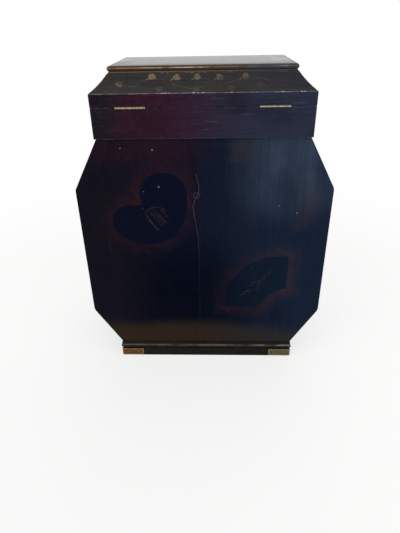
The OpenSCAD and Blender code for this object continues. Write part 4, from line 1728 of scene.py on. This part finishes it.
@dataclass
class ReserveStrokes:
    """Worn raised strokes inside the two reserves of each panel.

    Places are (right, up) in millimetres, seen from outside the panel.
    """

    finishes: Finishes
    width: float = 1.35
    relief: float = 0.08
    # Gold that is left
    gilt: float = 0.6
    lines: tuple[tuple[Pair, ...], ...] = (
        ((-55.0, 170.5), (-50.5, 163.5), (-45.5, 156.0), (-41.5, 151.8)),
        ((-50.5, 172.5), (-45.5, 165.5), (-39.5, 158.0)),
        ((-46.0, 174.5), (-41.0, 168.0), (-35.0, 160.5)),
        ((-41.0, 175.0), (-36.5, 170.0), (-32.5, 164.8)),
        ((-53.5, 166.0), (-48.5, 159.0), (-44.5, 153.5)),
        ((-48.5, 173.6), (-43.0, 166.8), (-37.2, 159.2)),
        ((-55.0, 170.5), (-51.5, 174.5), (-46.0, 176.5), (-40.0, 176.2), (-35.0, 172.5)),
        ((66.0, 109.4), (61.5, 103.0), (57.6, 97.7), (54.2, 91.5), (52.2, 84.6)),
        ((57.6, 97.7), (50.5, 95.5), (46.0, 91.0)),
        ((36.0, 79.7), (40.0, 82.0), (44.0, 85.8), (50.0, 86.5)),
    )
    # Worn leaves on the twig: (right, up, direction in degrees), and their length and width
    leaves: tuple[Triple, ...] = (
        (65.0, 106.0, 75), (61.0, 104.5, 150), (58.5, 98.0, 20), (54.5, 93.5, 160), (48.5, 95.0, 60),
        (51.5, 86.0, 15), (44.5, 84.0, 120), (40.5, 84.0, 170), (38.0, 79.5, 40),
    )
    leaf: Pair = (3.6, 1.3)

    def skin(self, side: Side) -> Skin:
        """Surface of a panel.

        Args:
            side: The panel's side.

        Returns:
            A function that places a small part on it.
        """
        low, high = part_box(f"{side.label}_panel")
        reach = high.y if side is Side.FRONT else -low.y
        turn = Matrix((side.along, UP, side.outward)).transposed().to_4x4()

        def place(right: float, up: float) -> Matrix:
            """Frame of a small part on the panel."""
            spot = side.along * right * MM + side.outward * reach + UP * up * MM
            return Matrix.Translation(spot) @ turn

        return place

    def build(self) -> None:
        """Lays the strokes on both panels."""
        for side in (Side.BACK, Side.FRONT):
            shape = bmesh.new()
            skin = self.skin(side)
            for line in self.lines:
                add_stroke(shape, skin, line, self.width, self.relief)
            for right, up, angle in self.leaves:
                add_petal(shape, skin(right, up), angle, (*self.leaf, self.relief))
            set_gilt(shape, 0, self.gilt)
            name = f"{side.label}_panel_strokes"
            make_piece(shape, name, Body.CASE, Slot.PANEL, [self.finishes.stroke])


@dataclass
class Fittings:
    """Dresses the CAD nodes that keep their own shape."""

    finishes: Finishes

    def table(self) -> dict[Material, list[str]]:
        """Says which nodes have which material.

        Returns:
            The nodes by material.
        """
        f = self.finishes
        ends = ("left", "right")
        return {
            f.inner: ["bottom_board", "well_board"],
            f.plinth: [f"plinth_{side.label}" for side in Side],
            f.mount: [
                "corner_pins", *(f"corner_mount_{face}_{end}" for face in ("back", "front") for end in ends)
            ],
            f.hinge: [
                *(f"{end}_hinge_{part}" for end in ends for part in ("case_leaf", "lid_leaf", "pin")),
                "hinge_case_screws", "hinge_lid_screws",
            ],
            f.lock: [
                "lock_case", "lock_cover", "lock_bolt", "lock_screws", "escutcheon", "escutcheon_pins",
                "link_plate", "link_plate_screws",
            ],
            f.pewter: [
                f"{end}_{part}" for end in ends for part in ("canister", "canister_cap", "cap_knob")
            ],
        }

    def dress(self, node: str, material: Material) -> None:
        """Gives a node its only material.

        Args:
            node: The node.
            material: The material.
        """
        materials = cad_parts[node].data.materials
        materials.clear()
        materials.append(material)
        LOG.info("%s: %s", node, material.name)

    def build(self) -> None:
        """Gives every node its material, the replaced ones too."""
        for material, nodes in self.table().items():
            for node in nodes:
                self.dress(node, material)
        for node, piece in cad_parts.items():
            if piece.hide_render:
                self.dress(node, self.finishes.side)


# ---- Studio ----


@dataclass
class Studio:
    """Pale floor, white surround, soft lights and the camera."""

    # Camera: pitch down, roll and yaw in degrees, place in millimetres, focal length and picture width
    # in image pixels, sensor width in millimetres and distance in metres from which it sees
    pitch: float = 29.521
    roll: float = -1.141
    yaw: float = -2.271
    camera_place: Triple = (10.705, -442.981, 331.909)
    focal: float = 445.713
    image_width: int = 400
    sensor: float = 36.0
    clip_start: float = 0.01
    # Floor: its width and its drop under the caddy in metres, and its colour
    floor_size: float = 16.0
    floor_drop: float = 0.0002
    floor_colour: str = "#f2f1ef"
    # How white the floor is near the caddy, and where it gets fully white, in millimetres from it
    near_white: float = 0.7
    shadow_reach: Pair = (250.0, 700.0)
    # Strength of the surround's light
    sky: float = 0.38
    # Lights: (name, place in metres, size in metres, watts)
    lights: tuple[tuple[str, Triple, float, float], ...] = (
        ("key", (-1.3, -1.6, 1.7), 2.0, 25.0),
        ("fill", (1.5, -1.4, 1.1), 2.0, 14.0),
        ("over", (0.2, 0.3, 2.2), 2.4, 17.0),
        ("behind", (0.4, 1.7, 1.2), 2.0, 15.0),
    )

    def build(self) -> None:
        """Sets up everything that isn't the caddy."""
        self.build_floor()
        self.build_world()
        for name, place, size, power in self.lights:
            self.build_light(name, Vector(place), size, power)
        self.build_camera()
        bpy.context.scene.view_settings.view_transform = "Standard"

    def seen(self, bench: Bench) -> Signal:
        """Finds the rays that show the surround.

        Args:
            bench: The bench to add to.

        Returns:
            1 for a ray from the camera, a gloss or a glass.
        """
        paths = bench.node("ShaderNodeLightPath").outputs
        kinds = ("Camera", "Glossy", "Transmission")
        return reduce(Signal.most, (Signal(bench, paths[f"Is {kind} Ray"]) for kind in kinds))

    def build_floor(self) -> None:
        """Makes the pale floor, which grows white away from the caddy's shadow."""
        shape = bmesh.new()
        bmesh.ops.create_grid(shape, x_segments=1, y_segments=1, size=self.floor_size / 2)
        bmesh.ops.translate(shape, vec=UP * -self.floor_drop, verts=shape.verts)
        mesh = bpy.data.meshes.new("floor")
        shape.to_mesh(mesh)
        shape.free()
        floor = shown("floor", mesh)
        material = bpy.data.materials.new("floor")
        bench = Bench(material)
        place = bench.vector("SCALE", bench.node("ShaderNodeTexCoord").outputs["Object"], Scale=1 / MM)
        away = bench.signal("ShaderNodeVectorMath", {"operation": "LENGTH"}, {0: place}, "Value")
        share = self.seen(bench) * away.ramp(*self.shadow_reach).above(self.near_white)
        matte = bench.node("ShaderNodeBsdfDiffuse", {}, {"Color": self.floor_colour}).outputs[0]
        white = bench.node("ShaderNodeEmission").outputs[0]
        mix = bench.node("ShaderNodeMixShader", {}, {0: share, 1: matte, 2: white}).outputs[0]
        bench.node("ShaderNodeOutputMaterial", {}, {"Surface": mix})
        mesh.materials.append(material)

    def build_world(self) -> None:
        """Makes the surround: white where it is seen, softer where it lights."""
        world = bpy.data.worlds.new("surround")
        bpy.context.scene.world = world
        bench = Bench(world)
        soft, white = (
            bench.node("ShaderNodeBackground", {}, {"Color": "#ffffff", "Strength": strength}).outputs[0]
            for strength in (self.sky, 1.0)
        )
        mix = bench.node("ShaderNodeMixShader", {}, {0: self.seen(bench), 1: soft, 2: white}).outputs[0]
        bench.node("ShaderNodeOutputWorld", {}, {"Surface": mix})

    def build_light(self, name: str, place: Vector, size: float, power: float) -> None:
        """Adds a square soft light that faces the caddy.

        Args:
            name: Its name.
            place: Its place in metres.
            size: Its width in metres.
            power: Its power in watts.
        """
        data = bpy.data.lights.new(name, "AREA")
        data.size = size
        data.energy = power
        lamp = shown(name, data)
        target = (CAD_BOX[0] + CAD_BOX[1]) / 2
        aim = (target - place).to_track_quat("-Z", "Y").to_matrix().to_4x4()
        lamp.matrix_world = Matrix.Translation(place) @ aim
        lamp.visible_glossy = False

    def build_camera(self) -> None:
        """Adds the camera."""
        data = bpy.data.cameras.new("camera")
        data.sensor_fit = "HORIZONTAL"
        data.sensor_width = self.sensor
        data.lens = self.sensor * self.focal / self.image_width
        data.clip_start = self.clip_start
        pitch, roll, yaw = (math.radians(a) for a in (self.pitch, self.roll, self.yaw))
        level = Vector((math.cos(yaw), -math.sin(yaw), 0))
        ahead = UP.cross(level) * math.cos(pitch) - UP * math.sin(pitch)
        upright = level.cross(ahead)
        right = level * math.cos(roll) + upright * math.sin(roll)
        up = upright * math.cos(roll) - level * math.sin(roll)
        camera = shown("camera", data)
        turn = Matrix((right, up, -ahead)).transposed().to_4x4()
        camera.matrix_world = Matrix.Translation(Vector(self.camera_place) * MM) @ turn
        bpy.context.scene.camera = camera


def main() -> None:
    """Builds the sub-assemblies in order."""
    logging.basicConfig(level=logging.INFO, format="%(name)s: %(message)s")
    finishes = Finishes()
    for assembly in (CaseBody, Neck, Lid, VineScroll, ReserveStrokes, Fittings):
        assembly(finishes).build()
    Studio().build()


if __name__ == "__main__":
    main()
